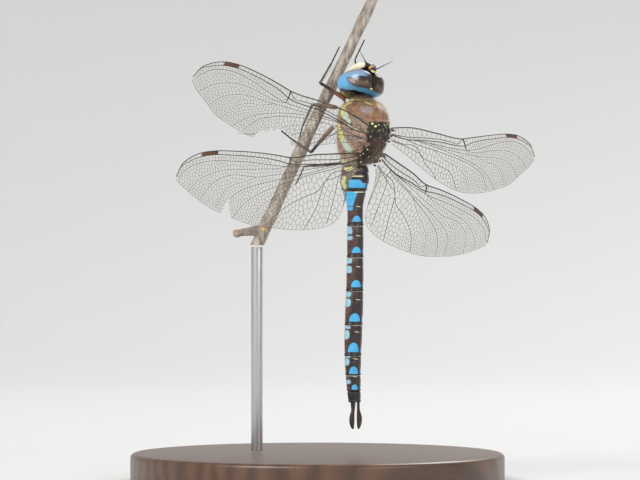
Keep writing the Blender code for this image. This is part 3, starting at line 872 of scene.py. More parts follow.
def make_tube_tree():
    """Geometry Nodes: a round tube along every link, as thick as its vertices say."""
    tree, given, end = new_group(
        "GeometryNodeTree", "vein tubes",
        (("Geometry", SHAPE, None), ("Sides", WHOLE, 6), ("Material", FINISH, None)),
        (("Geometry", SHAPE),),
    )
    curve = add_node(tree, "GeometryNodeMeshToCurve", Mesh=given["Geometry"])
    profile = add_node(tree, "GeometryNodeCurvePrimitiveCircle", Resolution=given["Sides"],
                       Radius=1.0)
    tube = add_node(tree, "GeometryNodeCurveToMesh", Curve=curve.outputs["Curve"],
                    Profile_Curve=profile.outputs["Curve"], Scale=named_field(tree, "thickness"),
                    Fill_Caps=True)
    smooth = add_node(tree, "GeometryNodeSetShadeSmooth", Geometry=tube.outputs["Mesh"])
    end_shape(tree, end, smooth.outputs["Geometry"], given["Material"])
    return tree


TUBES = make_tube_tree()


def set_inputs(modifier, **values):
    """Sets a Geometry Nodes modifier's inputs by their sockets' identifiers."""
    for item in modifier.node_group.interface.items_tree:
        key = getattr(item, "name", "").replace(" ", "_")
        if item.item_type == "SOCKET" and item.in_out == "INPUT" and key in values:
            modifier[item.identifier] = values[key]


def add_tubes(name, net, material, sides=6, fields=None):
    """One mesh of tubes along the paths of a net; fields are carried over to it."""
    obj = add_piece(name, net.places, [], net.links)
    give(obj, "thickness", np.array(net.radii) * MM)
    for field, values in (fields or {}).items():
        give(obj, field, values)
    modifier = obj.modifiers.new("tubes", "NODES")
    modifier.node_group = TUBES
    set_inputs(modifier, Sides=sides, Material=material)
    return plain_mesh(obj)


def make_wing_material(name, roughness, first, second, scale, contrast, **constants):
    """(material, tree, Principled node, mottle node) of two colours given as light values."""
    material, tree, shader, place = new_material(name, roughness, **constants)
    mottle = use_group(tree, MOTTLE, Place=place, Scale=scale, Contrast=contrast, First=first,
                       Second=second)
    feed(tree, mottle.outputs["Colour"], shader.inputs["Base Color"])
    return material, tree, shader, mottle


def make_membrane_material():
    """Clear, faintly smoky film that shines a little."""
    material, tree, shader, mottle = make_wing_material(
        "wing_film", 0.16, (0.42, 0.36, 0.26), (0.62, 0.58, 0.48), 260.0, 1.4,
        Specular_IOR_Level=0.6)
    haze = math_node(tree, "MULTIPLY", mottle.outputs["Mask"], 0.05)
    clear = math_node(tree, "ADD", read_field(tree, "smoke"), haze, clamp=True)
    feed(tree, clear, shader.inputs["Alpha"])
    return material


FILM_THICKNESS = 0.02


def add_film(wing, corners, rings, seeds, lost, rng):
    """The membrane: each cell a shallow dish between its veins, made a thin closed sheet."""
    bulge = rng.uniform(-0.035, 0.035, len(seeds))
    rim = wing.place(corners)
    middles = wing.place(seeds, bulge)
    used = {}
    points, faces = [], []
    for k, ring in enumerate(rings):
        if lost[k] or len(ring) < 3:
            continue
        ids = []
        for corner in ring:
            if corner not in used:
                used[corner] = len(points)
                points.append(rim[corner])
            ids.append(used[corner])
        middle = len(points)
        points.append(middles[k])
        for a, b in zip(ids, ids[1:] + ids[:1]):
            faces.append((middle, a, b))
    obj = add_piece("film_" + wing.name[5:], points, faces)
    close_up(obj, 2e-6, 1e-7)
    places = np.array([v.co for v in obj.data.vertices]) / MM - AXIS
    along = (places - wing.root) @ wing.span / wing.length
    back = (places - wing.root) @ wing.back
    smoke = 0.10 + 0.05 * ramp(along, 0.55, 0.95)
    if wing.kind == "hind":
        smoke += 0.30 * ramp(-along, -0.10, -0.02) * ramp(back, 1.5, 3.0)
    smoke += 0.12 * ramp(-along, -0.08, 0.0)
    give(obj, "smoke", smoke / 2)
    wall = obj.modifiers.new("film", "SOLIDIFY")
    wall.thickness = FILM_THICKNESS * MM
    wall.offset = 0
    plain_mesh(obj)
    obj.data.shade_smooth()
    obj.data.set_sharp_from_angle(angle=math.radians(35))
    return obj


def add_stigma(wing):
    """A low cushion that fills the cell between the front edge and the radius."""
    start, end = STIGMA[wing.kind]
    steps, rows = 24, 7
    share, v = np.meshgrid(
        np.linspace(0, 1, steps + 1), np.linspace(0, 1, rows + 1), indexing="ij")
    share, v = share.ravel(), v.ravel()
    t = start + (end - start) * share + 0.006 * (v - 0.5)
    lines = wing.lines_at(t)
    flat = np.column_stack([t * wing.length, lines[0] + (lines[2] - lines[0]) * v])
    swell = (1 - np.abs(2 * v - 1) ** 4) * np.minimum(1, 12 * np.minimum(share, 1 - share))
    points = np.vstack([wing.place(flat, side * 0.085 * swell) for side in (1, -1)])
    width, block = rows + 1, len(flat)
    faces = []
    for i in range(steps):
        for j in range(rows):
            a = i * width + j
            quad = (a, a + 1, a + width + 1, a + width)
            faces += [quad[::-1], tuple(k + block for k in quad)]
    obj = add_piece("stigma_" + wing.name[5:], points, faces)
    close_up(obj, 1e-6)
    return obj


def add_wing(name, materials, seed):
    """Veins, membrane and dark cell of one wing."""
    rng = np.random.default_rng(seed)
    wing = Wing(name)
    seeds = settle(wing, scatter_seeds(wing, rng))
    corners, rings, borders = divide(wing, seeds)
    lost = is_lost(wing, seeds)
    net = Net()
    add_long_veins(wing, net)
    add_nodus(wing, net)
    add_threads(wing, net, rng)
    placed = wing.place(corners)
    thin = 1 - 0.25 * np.clip(corners[:, 0] / wing.length, 0, 1)
    for a, b, start, end in borders:
        if start == end or (lost[a] and lost[b]):
            continue
        net.add_path(placed[[start, end]], CROSS_VEIN * thin[[start, end]])
    veins = add_tubes("veins_" + name[5:], net, materials["vein"])
    finish_piece(veins, None, (name,))
    film = add_film(wing, corners, rings, seeds, lost, rng)
    finish_piece(film, materials["film"], (name,))
    stigma = add_stigma(wing)
    finish_piece(stigma, materials["stigma"], (name,))


def add_wings():
    """Four wings of dark brown veins, smoky film and a reddish-brown cell near each tip."""
    materials = {
        "vein": make_wing_material(
            "vein_brown", 0.42, (0.012, 0.008, 0.006), (0.06, 0.034, 0.018), 500.0, 1.6)[0],
        "film": make_membrane_material(),
        "stigma": make_wing_material(
            "stigma_brown", 0.4, (0.06, 0.022, 0.010), (0.17, 0.065, 0.025), 1800.0, 1.5)[0],
    }
    for seed, name in enumerate(WINGS, 11):
        add_wing(name, materials, seed)


add_wings()

# ---------------------------------------------------------------- trunk

# Sections of the trunk: height, the middle's x and y, half width and half depth
ABDOMEN_STATIONS = (
    (45.0, 0.0, 0.75, 2.10, 2.25), (43.9, 0.0, 0.85, 2.30, 2.40), (42.3, -0.05, 0.90, 2.45, 2.45),
    (40.8, -0.15, 0.80, 2.10, 2.05), (38.6, -0.30, 0.50, 1.48, 1.45),
    (34.8, -0.35, 0.35, 1.45, 1.30), (29.4, -0.38, 0.35, 1.48, 1.32),
    (23.7, -0.42, 0.42, 1.55, 1.38), (17.9, -0.55, 0.55, 1.62, 1.38),
    (12.7, -0.65, 0.62, 1.55, 1.25), (9.4, -0.62, 0.58, 1.42, 1.10), (6.7, -0.55, 0.48, 1.30, 0.95),
    (4.75, -0.45, 0.38, 1.15, 0.80),
)
SEGMENT_ENDS = (45.0, 43.9, 40.8, 34.8, 29.4, 23.7, 17.9, 12.7, 9.4, 6.7, 4.75)
THORAX_STATIONS = (
    (45.3, 0.0, 0.30, 2.30, 2.80), (46.0, 0.0, -0.15, 2.75, 3.45),
    (46.8, 0.0, -0.50, 3.00, 4.00), (48.0, 0.0, -0.85, 3.40, 4.75),
    (49.5, 0.0, -1.10, 3.60, 5.10), (51.0, 0.0, -1.30, 3.65, 5.35),
    (52.5, 0.0, -1.30, 3.65, 5.35), (54.0, 0.0, -1.20, 3.45, 4.95),
    (55.2, 0.0, -1.10, 2.95, 3.95), (55.8, 0.0, -1.15, 2.35, 2.75), (56.1, 0.0, -1.15, 2.15, 2.05),
    (56.3, 0.0, -1.10, 2.05, 1.95), (56.5, 0.0, -1.00, 1.65, 1.60),
)
SKIN_INSET = 0.04
THORAX_ROLL = 6.0  # degrees the back turns towards the left side
ABDOMEN_ROLL = -18.0
# Colours as on a paint chart
BLUE = (92, 194, 240)
BLUE_DEEP = (52, 158, 222)
BLUE_PALE = (122, 188, 222)
CREAM = (226, 224, 184)
YELLOW = (228, 220, 110)
GREEN_PALE = (196, 220, 176)
BLACK = (20, 17, 17)


def section_of(stations):
    """A function of the height that gives x, y, half width and half depth."""
    curves = [smooth_through([(row[0], row[k]) for row in stations]) for k in range(1, 5)]
    return lambda height: np.array([curve(height) for curve in curves])


thorax_section = section_of(THORAX_STATIONS)
abdomen_section = section_of(ABDOMEN_STATIONS)


def around_trunk(section, degrees, height, out=0.0):
    """Places on a trunk's surface; angles run from the middle of the back to the left side."""
    x, y, half_x, half_y = section(height)
    a = np.radians(degrees)
    return np.stack([
        x - np.sin(a) * (half_x + out), y - np.cos(a) * (half_y + out), height + 0 * a,
    ], -1)


def skin_grid(section, heights, count, relief, ends=(0.0, 0.0)):
    """Rings of a trunk's skin closed at both ends: places, faces, angles and heights."""
    turns = np.linspace(-180, 180, count, endpoint=False)
    level, turn = np.meshgrid(heights, turns, indexing="ij")
    points = around_trunk(section, turn, level, relief(turn, level) - SKIN_INSET)
    rows = len(heights)
    faces = band_faces(rows, count)
    points = points.reshape(-1, 3)
    first, last = points[:count].mean(0), points[-count:].mean(0)
    points = np.vstack([points, first + (0, 0, ends[0]), last + (0, 0, ends[1])])
    top, bottom = rows * count, rows * count + 1
    base = (rows - 1) * count
    for k in range(count):
        j = (k + 1) % count
        faces.append((top, j, k))
        faces.append((bottom, base + k, base + j))
    turn = np.append(turn.ravel(), (0, 0))
    level = np.append(level.ravel(), (heights[0], heights[-1]))
    return points, faces, turn, level


def segment_of(height):
    """Number of the abdomen's ring, millimetres from its front edge and its length."""
    ends = np.array(SEGMENT_ENDS)
    number = np.clip(np.searchsorted(-ends, -height, side="right"), 1, 10)
    return number, ends[number - 1] - height, ends[number - 1] - ends[number]


def abdomen_relief(turn, height):
    """Rims, grooves and keels of the abdomen's rings."""
    number, down, length = segment_of(height)
    half = abdomen_section(height)[2]
    across = np.abs(wrapped(turn - ABDOMEN_ROLL))
    rise = 0.05 * np.sin(math.pi * np.clip(down / length, 0, 1))
    rise += 0.09 * ramp(down, length - 0.45, length - 0.12) - 0.13 * ridge(down, 0.14)
    ringed = (number >= 3) & (number <= 8)
    rise -= 0.045 * ridge(down - 0.27 * length, 0.07) * ringed
    rise -= 0.05 * ridge(down - 0.45 * length, 0.08) * (number == 2)
    back = np.radians(across) * half
    rise += 0.06 * ridge(back, 0.08) * ramp(down, 0.1, 0.4) * (number > 1)
    rise += 0.05 * ridge(np.radians(across - 118) * half, 0.10)
    rise -= 0.12 * ridge(np.radians(across - 150) * half, 0.12)
    rise += 0.28 * ridge(np.radians(across - 96) * half, 0.5) * ridge(height - 42.3, 0.5)
    return rise


# For each ring from the third to the ninth: the blue back spots (front, rear, outer reach in
# degrees), the pale dash, then the two pale side spots, all as shares of the ring's length
RING_MARKS = {
    3: ((0.71, 0.88, 68), 0.46, ((0.02, 0.40), (0.46, 0.56))),
    4: ((0.66, 0.85, 72), 0.32, ((0.03, 0.26), (0.31, 0.44))),
    5: ((0.67, 0.88, 74), 0.28, ((0.02, 0.18), (0.25, 0.46))),
    6: ((0.65, 0.89, 78), 0.26, ((0.03, 0.17), (0.22, 0.46))),
    7: ((0.57, 0.88, 80), 0.23, ((0.02, 0.12), (0.16, 0.46))),
    8: ((0.55, 0.93, 74), 0.18, ((0.02, 0.10), (0.14, 0.50))),
    9: ((0.58, 0.90, 60), 0.10, ((0.05, 0.06), (0.30, 0.55))),
}
SPOT_START = 0.27  # millimetres from the middle of the back to a ring's blue spot


def abdomen_marks(turn, height):
    """Distances in millimetres to the abdomen's colour marks, positive inside them."""
    number, down, length = segment_of(height)
    radius = sum(abdomen_section(height)[2:]) / 2
    across = np.abs(wrapped(turn - ABDOMEN_ROLL))
    side = np.radians(across) * radius
    blue = np.full(len(turn), -1.0)
    pale, cream, yellow = blue.copy(), blue.copy(), blue.copy()
    black = between(down, 0.90 * length, 0.985 * length)
    black = np.maximum(black, 0.035 - side)
    for ring, (spot, dash, sides) in RING_MARKS.items():
        here = number == ring
        front, rear, reach = spot
        outer = math.radians(reach + 8) * radius
        middle, width = (outer + SPOT_START) / 2, (outer - SPOT_START) / 2
        u = (side - middle) / width
        dome = down - length * (rear - (rear - front) * np.sqrt(np.clip(1 - u * u, 0, 1)))
        beside = np.minimum((1 - np.abs(u)) * width, down - rear * length)
        dome = np.where(np.abs(u) < 1, dome, beside)
        blue = np.where(here, np.minimum(dome, rear * length - down), blue)
        slope = 0.14 * (side - 0.4)
        bar = np.minimum(0.055 - np.abs(down - dash * length + slope), between(side, 0.34, 1.2))
        cream = np.where(here, bar, cream)
        for low, high in sides:
            tall, wide = (high - low) * length / 2, 0.62
            u = (side - math.radians(104) * radius) / wide
            v = (down - (high + low) * length / 2) / tall
            patch = (1 - (np.abs(u) ** 3 + np.abs(v) ** 3) ** (1 / 3)) * tall
            pale = np.where(here, np.maximum(pale, patch), pale)
        line = 0.05 - np.abs(down - 0.29 * length)
        black = np.where(here & (ring < 9), np.maximum(black, line), black)
    third = number == 3
    wedge = between(side, 1.42 + 0.12 * down, 4.3 - 0.35 * down)
    big = np.minimum(between(down, 0.18, 2.6), wedge)
    small = np.minimum(between(down, 2.72, 3.35), between(side, 1.75, 2.95))
    blue = np.where(third, np.maximum(blue, np.maximum(big, small)), blue)
    collar = np.minimum(between(down, 0.16, 0.34), between(across, 6, 60) * 0.03)
    cream = np.where(third, np.maximum(cream, collar), cream)
    pale = np.where(third, -1, pale)
    second = number == 2
    notch = 1.25 + 0.6 * (1 - ramp(across, 18, 40))
    band = np.minimum(between(down, notch, 2.62), between(across, 5, 84) * 0.04)
    blue = np.where(second, band, blue)
    white = np.minimum(0.09 - np.abs(down - 0.66), between(across, 22, 70) * 0.04)
    cream = np.where(second, white, cream)
    bars = np.maximum(between(down, 2.62, 3.1), between(down, 0.78, 1.25 + 0.3 * (across < 60)))
    black = np.where(second, np.maximum(black, bars), black)
    patch = 0.80 - np.hypot((down - 1.75) * 0.75, (side - math.radians(108) * radius) * 1.1)
    yellow = np.where(second, patch, yellow)
    patch = 0.34 - np.hypot(down - 0.5, (side - math.radians(92) * radius) * 0.35)
    yellow = np.where(number == 1, patch, yellow)
    joint = 0.07 - np.abs(down - 0.03) - 0.10 * ramp(across, 100, 150)
    cream = np.where((number >= 4) & (number <= 9), np.maximum(cream, joint), cream)
    black = np.maximum(black, np.where(number == 10, 1.0, -1.0))
    black = np.maximum(black, np.minimum(blue + 0.10, 0.3 * (number > 3) - 0.02))
    under = (across - 122) * 0.03
    dusk = (34 + 52 * (1 - ramp(height, 10, 36)) + 10 * ramp(down, 0.5, 3.5) - across) * 0.03
    return {
        "blue": blue, "pale": pale, "cream": cream, "yellow": yellow, "black": black,
        "under": under, "dusk": dusk,
    }


def make_abdomen_material():
    """Dark brown rings with blue, cream and yellow marks."""
    marks = (
        ("under", ((92, 58, 44), (168, 116, 84), 1500.0), 0.5, 0.3),
        ("dusk", ((17, 13, 14), (54, 37, 35), 1000.0, 1.8), 0.8, 0.6, 1100.0),
        ("black", BLACK, 0.07, 0.10),
        ("yellow", (YELLOW, GREEN_PALE, 1300.0), 0.30, 0.7, 1200.0),
        ("pale", (BLUE_PALE, (168, 208, 212), 1500.0), 0.16, 0.30, 1800.0),
        ("blue", (BLUE_DEEP, BLUE, 1800.0), 0.05, 0.07),
        ("cream", CREAM, 0.04, 0.03),
    )
    return make_shell("abdomen_rings", 0.34, ((30, 20, 19), (108, 74, 68), 1000.0, 2.4), marks,
                      (9000.0, 0.6, 0.012, 0.7), Coat_Weight=0.15, Coat_Roughness=0.3)


def add_abdomen():
    """One skin over the ten rings of the abdomen."""
    heights = np.linspace(45.2, 4.8, 640)
    points, faces, turn, height = skin_grid(
        abdomen_section, heights, 84, abdomen_relief, (0.1, -0.1))
    obj = add_piece("abdomen", points, faces)
    for name, values in abdomen_marks(turn, np.clip(height, 4.76, 44.99)).items():
        give(obj, name, values)
    nodes = tuple(f"abdomen_{k:02d}" for k in range(1, 11))
    finish_piece(obj, make_abdomen_material(), nodes)


# Paths on the thorax as (degrees from the middle of the back, height)
STRIPE_FRONT = ((98, 55.85), (108, 55.3), (109, 54.7), (95, 53.8), (84, 53.0), (77, 52.4))
STRIPE_HIND = ((118, 51.9), (112, 51.0), (103, 50.0), (92, 49.0), (81, 48.1), (74, 47.6))
SPEAR = ((80, 51.75), (69, 51.35), (58, 51.2))
SHOULDER_STRIPE = ((37, 55.85), (26, 55.65), (11, 55.35))
SUTURES = (
    ((38, 52.3), (58, 53.2), (72, 54.2), (86, 55.3)),
    ((48, 51.6), (66, 51.9), (86, 52.2), (108, 53.3), (125, 54.4)),
    ((44, 49.6), (66, 49.9), (84, 50.4), (104, 51.5), (126, 52.6)),
    ((40, 47.8), (70, 47.2), (100, 47.6), (130, 49.2)),
)
RUST_ARCS = (
    ((7, 52.8), (9, 53.8), (15, 54.8), (27, 55.3)),
    ((17, 52.8), (32, 53.1), (46, 53.9), (58, 55.0)),
)
HINGE_SPOTS = (
    (25, 52.05, 0.20, "cream"), (17, 51.6, 0.19, "cream"), (23, 50.45, 0.16, "pale"),
    (6, 50.9, 0.22, "olive"), (31, 49.5, 0.15, "olive"), (14, 49.2, 0.14, "olive"),
    (9, 51.85, 0.11, "cream"), (35, 51.1, 0.12, "pale"), (28, 47.7, 0.15, "cream"),
    (35, 47.0, 0.13, "cream"), (20, 47.3, 0.10, "olive"), (11, 47.9, 0.09, "olive"),
    (27, 48.6, 0.10, "olive"), (15, 46.5, 0.11, "cream"),
)


def dense(path, steps=14):
    """A path in angle and height as many close places on the thorax."""
    path = np.array(path, float)
    share = np.linspace(0, len(path) - 1, (len(path) - 1) * steps + 1)
    at = np.arange(len(path))
    degrees = np.interp(share, at, path[:, 0])
    return around_trunk(thorax_section, degrees, np.interp(share, at, path[:, 1]))


def away_from(points, places):
    """Distance of each point from the nearest of some places, and which that is."""
    best = np.full(len(points), 1e9)
    which = np.zeros(len(points), int)
    for k, place in enumerate(places):
        off = ((points - place) ** 2).sum(1)
        closer = off < best
        best[closer], which[closer] = off[closer], k
    return np.sqrt(best), which / max(len(places) - 1, 1)


def lines_along(points, paths, half_width):
    """Distances in millimetres inside lines along several paths, positive within."""
    return np.max([half_width - away_from(points, dense(path))[0] for path in paths], axis=0)


def left_twin(turn, height):
    """Places on the smooth thorax, the right side mirrored onto the left."""
    return around_trunk(thorax_section, np.abs(wrapped(turn - THORAX_ROLL)), height)


def thorax_relief(turn, height):
    """Keel, sutures, and the low ground between the wing hinges."""
    shape = turn.shape
    turn, height = turn.ravel(), height.ravel()
    twin = left_twin(turn, height)
    across = np.abs(wrapped(turn - THORAX_ROLL))
    half = thorax_section(height)[2]
    side = np.radians(across) * half
    rise = 0.16 * ridge(side, 0.16) * between(height, 52.2, 55.6).clip(0, 0.5) * 2
    for path in SUTURES:
        away, _share = away_from(twin, dense(path))
        rise = rise - 0.12 * ridge(away, 0.11) + 0.05 * ridge(away - 0.32, 0.2)
    hinge = np.minimum(between(across, -1, 38) * 0.06, between(height, 49.2, 52.4))
    lumps = np.sin(across * 0.28 + 0.4 * height) * np.sin(height * 5.2) * 0.15
    rise += (lumps - 0.12) * ramp(hinge, 0.0, 0.35)
    folds = np.minimum(between(across, 40, 74) * 0.06, between(height, 47.7, 50.2))
    rise += 0.06 * np.sin(height * 9.5 + across * 0.13) * ramp(folds, 0.0, 0.5)
    away, _share = away_from(twin, dense(((0, 52.5), (20, 52.45), (40, 52.25))))
    rise += 0.14 * ridge(away, 0.16)
    saddle = np.minimum(between(across, -1, 34) * 0.06, between(height, 46.2, 49.0))
    rise += (0.14 + 0.06 * np.sin(across * 0.42) * np.sin(height * 4.1)) * ramp(saddle, 0.0, 0.5)
    rise -= 0.10 * ridge(side - 0.55, 0.10) * ramp(saddle, 0.0, 0.5)
    fall = ramp(height, 55.6, 56.0) + ramp(-height, -46.0, -45.4)
    return (rise * (1 - np.clip(fall, 0, 1))).clip(-0.3, 0.3).reshape(shape)


def thorax_marks(turn, height):
    """Distances in millimetres to the thorax's colour marks, positive inside them; the grey ovals
    are painted highlights.
    """
    twin = left_twin(turn, height)
    across = np.abs(wrapped(turn - THORAX_ROLL))
    front_away, front_share = away_from(twin, dense(STRIPE_FRONT))
    hind_away, hind_share = away_from(twin, dense(STRIPE_HIND))
    spear_away, spear_share = away_from(twin, dense(SPEAR))
    shoulder_away, shoulder_share = away_from(twin, dense(SHOULDER_STRIPE))
    stripe = np.maximum(0.60 - 0.25 * ramp(front_share, 0.6, 1) - front_away, 0.68 - hind_away)
    stripe = np.maximum(stripe, 0.15 - 0.09 * spear_share - spear_away)
    shoulder = 0.16 * np.sin(math.pi * np.clip(shoulder_share, 0.1, 0.9)) - shoulder_away
    stripe = np.maximum(stripe, np.where(across < 60, shoulder, -1))
    low = np.minimum(between(across, 82, 112) * 0.06, between(height, 45.4, 46.1))
    stripe = np.maximum(stripe, low)
    cool = np.where(front_away < hind_away, ramp(front_share, 0.35, 0.8),
                    ramp(hind_share, 0.25, 0.7) * ramp(115 - across, 5, 22))
    wave = 0.16 * np.sin(across * 0.33 + 0.6) + 0.10 * np.sin(across * 0.71)
    hinge = np.minimum(
        between(across, -1, 37 - 7 * ramp(np.abs(height - 50.8), 0.6, 1.6)) * 0.062,
        between(height, 49.45 + wave, 52.25 + 0.8 * wave),
    )
    hind = np.minimum(
        between(across, 15, 43 + 4 * np.sin(height * 3.0)) * 0.062,
        between(height, 46.2, 48.3 + wave),
    )
    hinge = np.maximum(hinge, hind)
    inset = 9 * np.sin((height - 45.4) * 1.5)
    saddle = np.minimum(between(across, -1, 36 + inset) * 0.062, between(height, 45.0, 49.6))
    spots = {"cream": [], "pale": [], "olive": []}
    for degrees, level, radius, kind in HINGE_SPOTS:
        place = around_trunk(thorax_section, np.array(degrees), np.array(level))
        spots[kind].append(radius - np.linalg.norm(twin - place, axis=1))
    # painted highlights: pale grey ovals where the hairy sides catch the light
    grey = np.full(len(turn), -1.0)
    for degrees, level, wide, tall in ((33, 54.5, 1.25, 0.75), (58, 52.75, 1.0, 0.55),
                                       (84, 51.1, 0.9, 0.5), (70, 49.6, 0.8, 0.45)):
        place = around_trunk(thorax_section, np.array(degrees), np.array(level))
        off = (twin - place) / (wide, wide, tall)
        grey = np.maximum(grey, (1 - np.linalg.norm(off, axis=1)) * tall)
    seam = np.maximum(lines_along(twin, SUTURES, 0.05), between(height, 55.85, 56.05))
    return {
        "stripe": stripe, "cool": cool, "hinge": hinge, "saddle": saddle, "grey": grey,
        "seam": seam, "rust": lines_along(twin, RUST_ARCS, 0.10),
        **{kind: np.max(fields, axis=0) for kind, fields in spots.items()},
        "under": (across - 125) * 0.05, "front": height - 52.6,
    }


def make_thorax_material():
    """Hairy orange-brown with two yellow side stripes that turn pale blue-green, and painted grey
    highlights on its sides.
    """
    material, tree, shader, place = new_material(
        "thorax_shell", 0.48, Specular_IOR_Level=0.45, Sheen_Weight=0.25, Sheen_Roughness=0.4)
    warm = mottled(tree, place, (206, 198, 92), (238, 230, 146), 1300.0, 2.0)
    cool = mottled(tree, place, (176, 198, 158), (190, 210, 208), 1300.0, 2.0)
    stripe = mix_colour(tree, read_field(tree, "cool"), warm, cool)
    colour = mottled(tree, place, (86, 62, 52), (190, 154, 134), 1100.0, 3.0)
    colour = lay_marks(tree, place, colour, (
        ("front", ((78, 54, 38), (158, 120, 80), 1000.0, 2.8), 0.8, 0.8, 600.0),
        # painted highlight: the grey ovals on the sides
        ("grey", ((104, 90, 88), (156, 142, 138), 1300.0), 0.35, 0.5, 900.0),
        ("under", ((120, 104, 84), (176, 160, 130), 1200.0), 0.4, 0.4),
        ("rust", ((104, 54, 34), (142, 84, 52), 1500.0), 0.22, 0.3, 1300.0),
        ("saddle", ((26, 17, 14), (78, 48, 32), 1300.0, 2.2), 0.30, 0.5, 1300.0),
        ("stripe", stripe, 0.34, 0.8, 1000.0),
        ("seam", (46, 30, 24), 0.08, 0.10),
        ("hinge", ((12, 10, 11), (44, 34, 30), 1500.0), 0.16, 0.4, 1500.0),
        ("olive", (112, 108, 58), 0.08, 0.14),
        ("pale", (178, 216, 226), 0.05, 0.10),
        ("cream", (238, 232, 150), 0.05, 0.12),
    ))
    finish_shell(tree, shader, place, colour, 5200.0, 0.7, 0.03, 0.8)
    return material


def unwrap_round(obj, turn, height, low, high):
    """A UV map named OFBake: the angle round the body across, the height up."""
    layer = obj.data.uv_layers.new(name="OFBake")
    across, up = (turn + 180) / 360, (height - low) / (high - low)
    for face in obj.data.polygons:
        corners = list(face.vertices)
        u = across[corners]
        u = np.where(u.max() - u > 0.5, u + 1, u)
        for loop, x, y in zip(face.loop_indices, u, up[corners]):
            layer.data[loop].uv = (0.02 + 0.95 * x, 0.02 + 0.96 * y)


def add_thorax():
    """One skin over the two thoracic pieces."""
    heights = np.linspace(56.48, 45.32, 250)
    points, faces, turn, height = skin_grid(
        thorax_section, heights, 176, thorax_relief, (0.0, 0.0))
    obj = add_piece("thorax", points, faces)
    for name, values in thorax_marks(turn, height).items():
        give(obj, name, values)
    unwrap_round(obj, turn, height, heights[-1], heights[0])
    finish_piece(obj, make_thorax_material(), ("synthorax", "prothorax"))
    return obj


def add_lumps(name, rows, material):
    """Several small rounded knobs as one piece, from rows of place, radii and turn."""
    shapes = []
    for place, radii, turn in rows:
        points, faces = ball((0, 0, 0), radii, 20, 12)
        shapes.append((points @ np.array(turn).T + place, faces))
    obj = add_piece(name, *together(*shapes))
    close_up(obj)
    finish_piece(obj, material)


def add_hinges():
    """Nearly black plates and knobs that carry the wing roots, with pale specks among them."""
    dark, pale = [], []
    for name in WINGS:
        wing = Wing(name)
        turn = Matrix((wing.span, wing.back, wing.upward)).transposed()
        front, hind = float(wing.front(np.array(0.0))), float(wing.hind(np.array(0.0)))
        rows = (
            (-0.30, front + 0.30, -0.05, (0.62, 0.30, 0.26), dark),
            (0.25, front + 0.38, 0.02, (0.55, 0.17, 0.15), dark),
            (-0.55, front + 0.75, -0.10, (0.40, 0.34, 0.22), dark),
            (-0.25, (front + hind) / 2, -0.04, (0.55, 0.22, 0.17), dark),
            (-0.60, (front + hind) / 2 + 0.3, -0.12, (0.42, 0.36, 0.2), dark),
            (-0.55, hind - 0.35, -0.08, (0.40, 0.18, 0.14), dark),
            (-0.95, (front + hind) / 2, -0.25, (0.6, 0.95, 0.3), dark),
            (-0.50, front + 0.42, 0.16, (0.13, 0.10, 0.07), pale),
            (-0.62, (front + hind) / 2 + 0.1, 0.08, (0.12, 0.15, 0.07), pale),
        )
        for along, back, lift, radii, kind in rows:
            place = wing.root + wing.span * along + wing.back * back + wing.upward * lift
            kind.append((place, radii, turn))
    plates = make_shell("hinge_plates", 0.3, ((14, 11, 11), (62, 38, 22), 1300.0, 2.4), (),
                        (6000.0, 0.5, 0.02), Specular_IOR_Level=0.6)
    add_lumps("wing_hinges", dark, plates)
    specks = make_plain_shell("hinge_specks", (196, 190, 96), (226, 226, 170), 0.4)
    add_lumps("hinge_specks", pale, specks)


def add_neck():
    """The dark neck and its collar between the thorax and the head."""
    rows = [
        (np.array([0.0, -1.0, 56.75]), (1.2, 1.4, 0.75), Matrix.Identity(3)),
        (np.array([0.0, -1.1, 56.2]), (1.85, 1.85, 0.45), Matrix.Identity(3)),
    ]
    dark = make_plain_shell("neck_dark", (24, 18, 16), (84, 62, 44), 0.6)
    add_lumps("neck", rows, dark)


def add_appendages():
    """The leaf-shaped upper appendages with a keel, and the plate under them."""
    top = SEGMENT_ENDS[-1]
    x, y = abdomen_section(top)[:2]
    leaf = ((0.0, 0.26, 0.62), (0.25, 0.28, 0.62), (0.55, 0.56, 0.82), (0.8, 0.49, 0.8),
            (0.95, 0.24, 0.68), (1.0, 0.10, 0.6))
    width_at = smooth_through([(row[0], row[1]) for row in leaf])
    out_at = smooth_through([(row[0], row[2]) for row in leaf])
    material = make_plain_shell("appendage_dark", (22, 16, 15), (70, 46, 38))
    shapes = [
        (f"cercus_{word}", side, width_at, out_at, top - 0.15, -0.25, 0.21)
        for side, word in ((-1, "left"), (1, "right"))
    ]
    plate_width = smooth_through(((0.0, 0.56), (0.5, 0.4), (1.0, 0.15)))
    shapes.append(("epiproct", 0, plate_width, lambda share: 0 * share, 2.4, 0.42, 0.2))
    count, rings = 28, 70
    turn = np.linspace(0, 2 * math.pi, count, endpoint=False)
    keel = 0.07 * ridge(turn - 1.5 * math.pi, 0.35)
    for name, side, wide, out, reach, back, thick in shapes:
        rows = []
        for s in np.linspace(-0.06, 1, rings):
            share = max(s, 0.0)
            close = math.sqrt(max(1e-4, 1 - max(0, (s - 0.93) / 0.07) ** 2))
            half = float(wide(share)) * close
            rows.append(np.column_stack([
                x + side * float(out(share)) + half * np.cos(turn),
                y + back + (thick * close + keel) * np.sin(turn),
                np.full(count, top - reach * s),
            ]))
        obj = add_piece(name + "_skin", np.vstack(rows), capped_faces(rings, count))
        close_up(obj)
        finish_piece(obj, material, (name,))


add_abdomen()
THORAX = add_thorax()
add_hinges()
add_neck()
add_appendages()

# ---------------------------------------------------------------- head

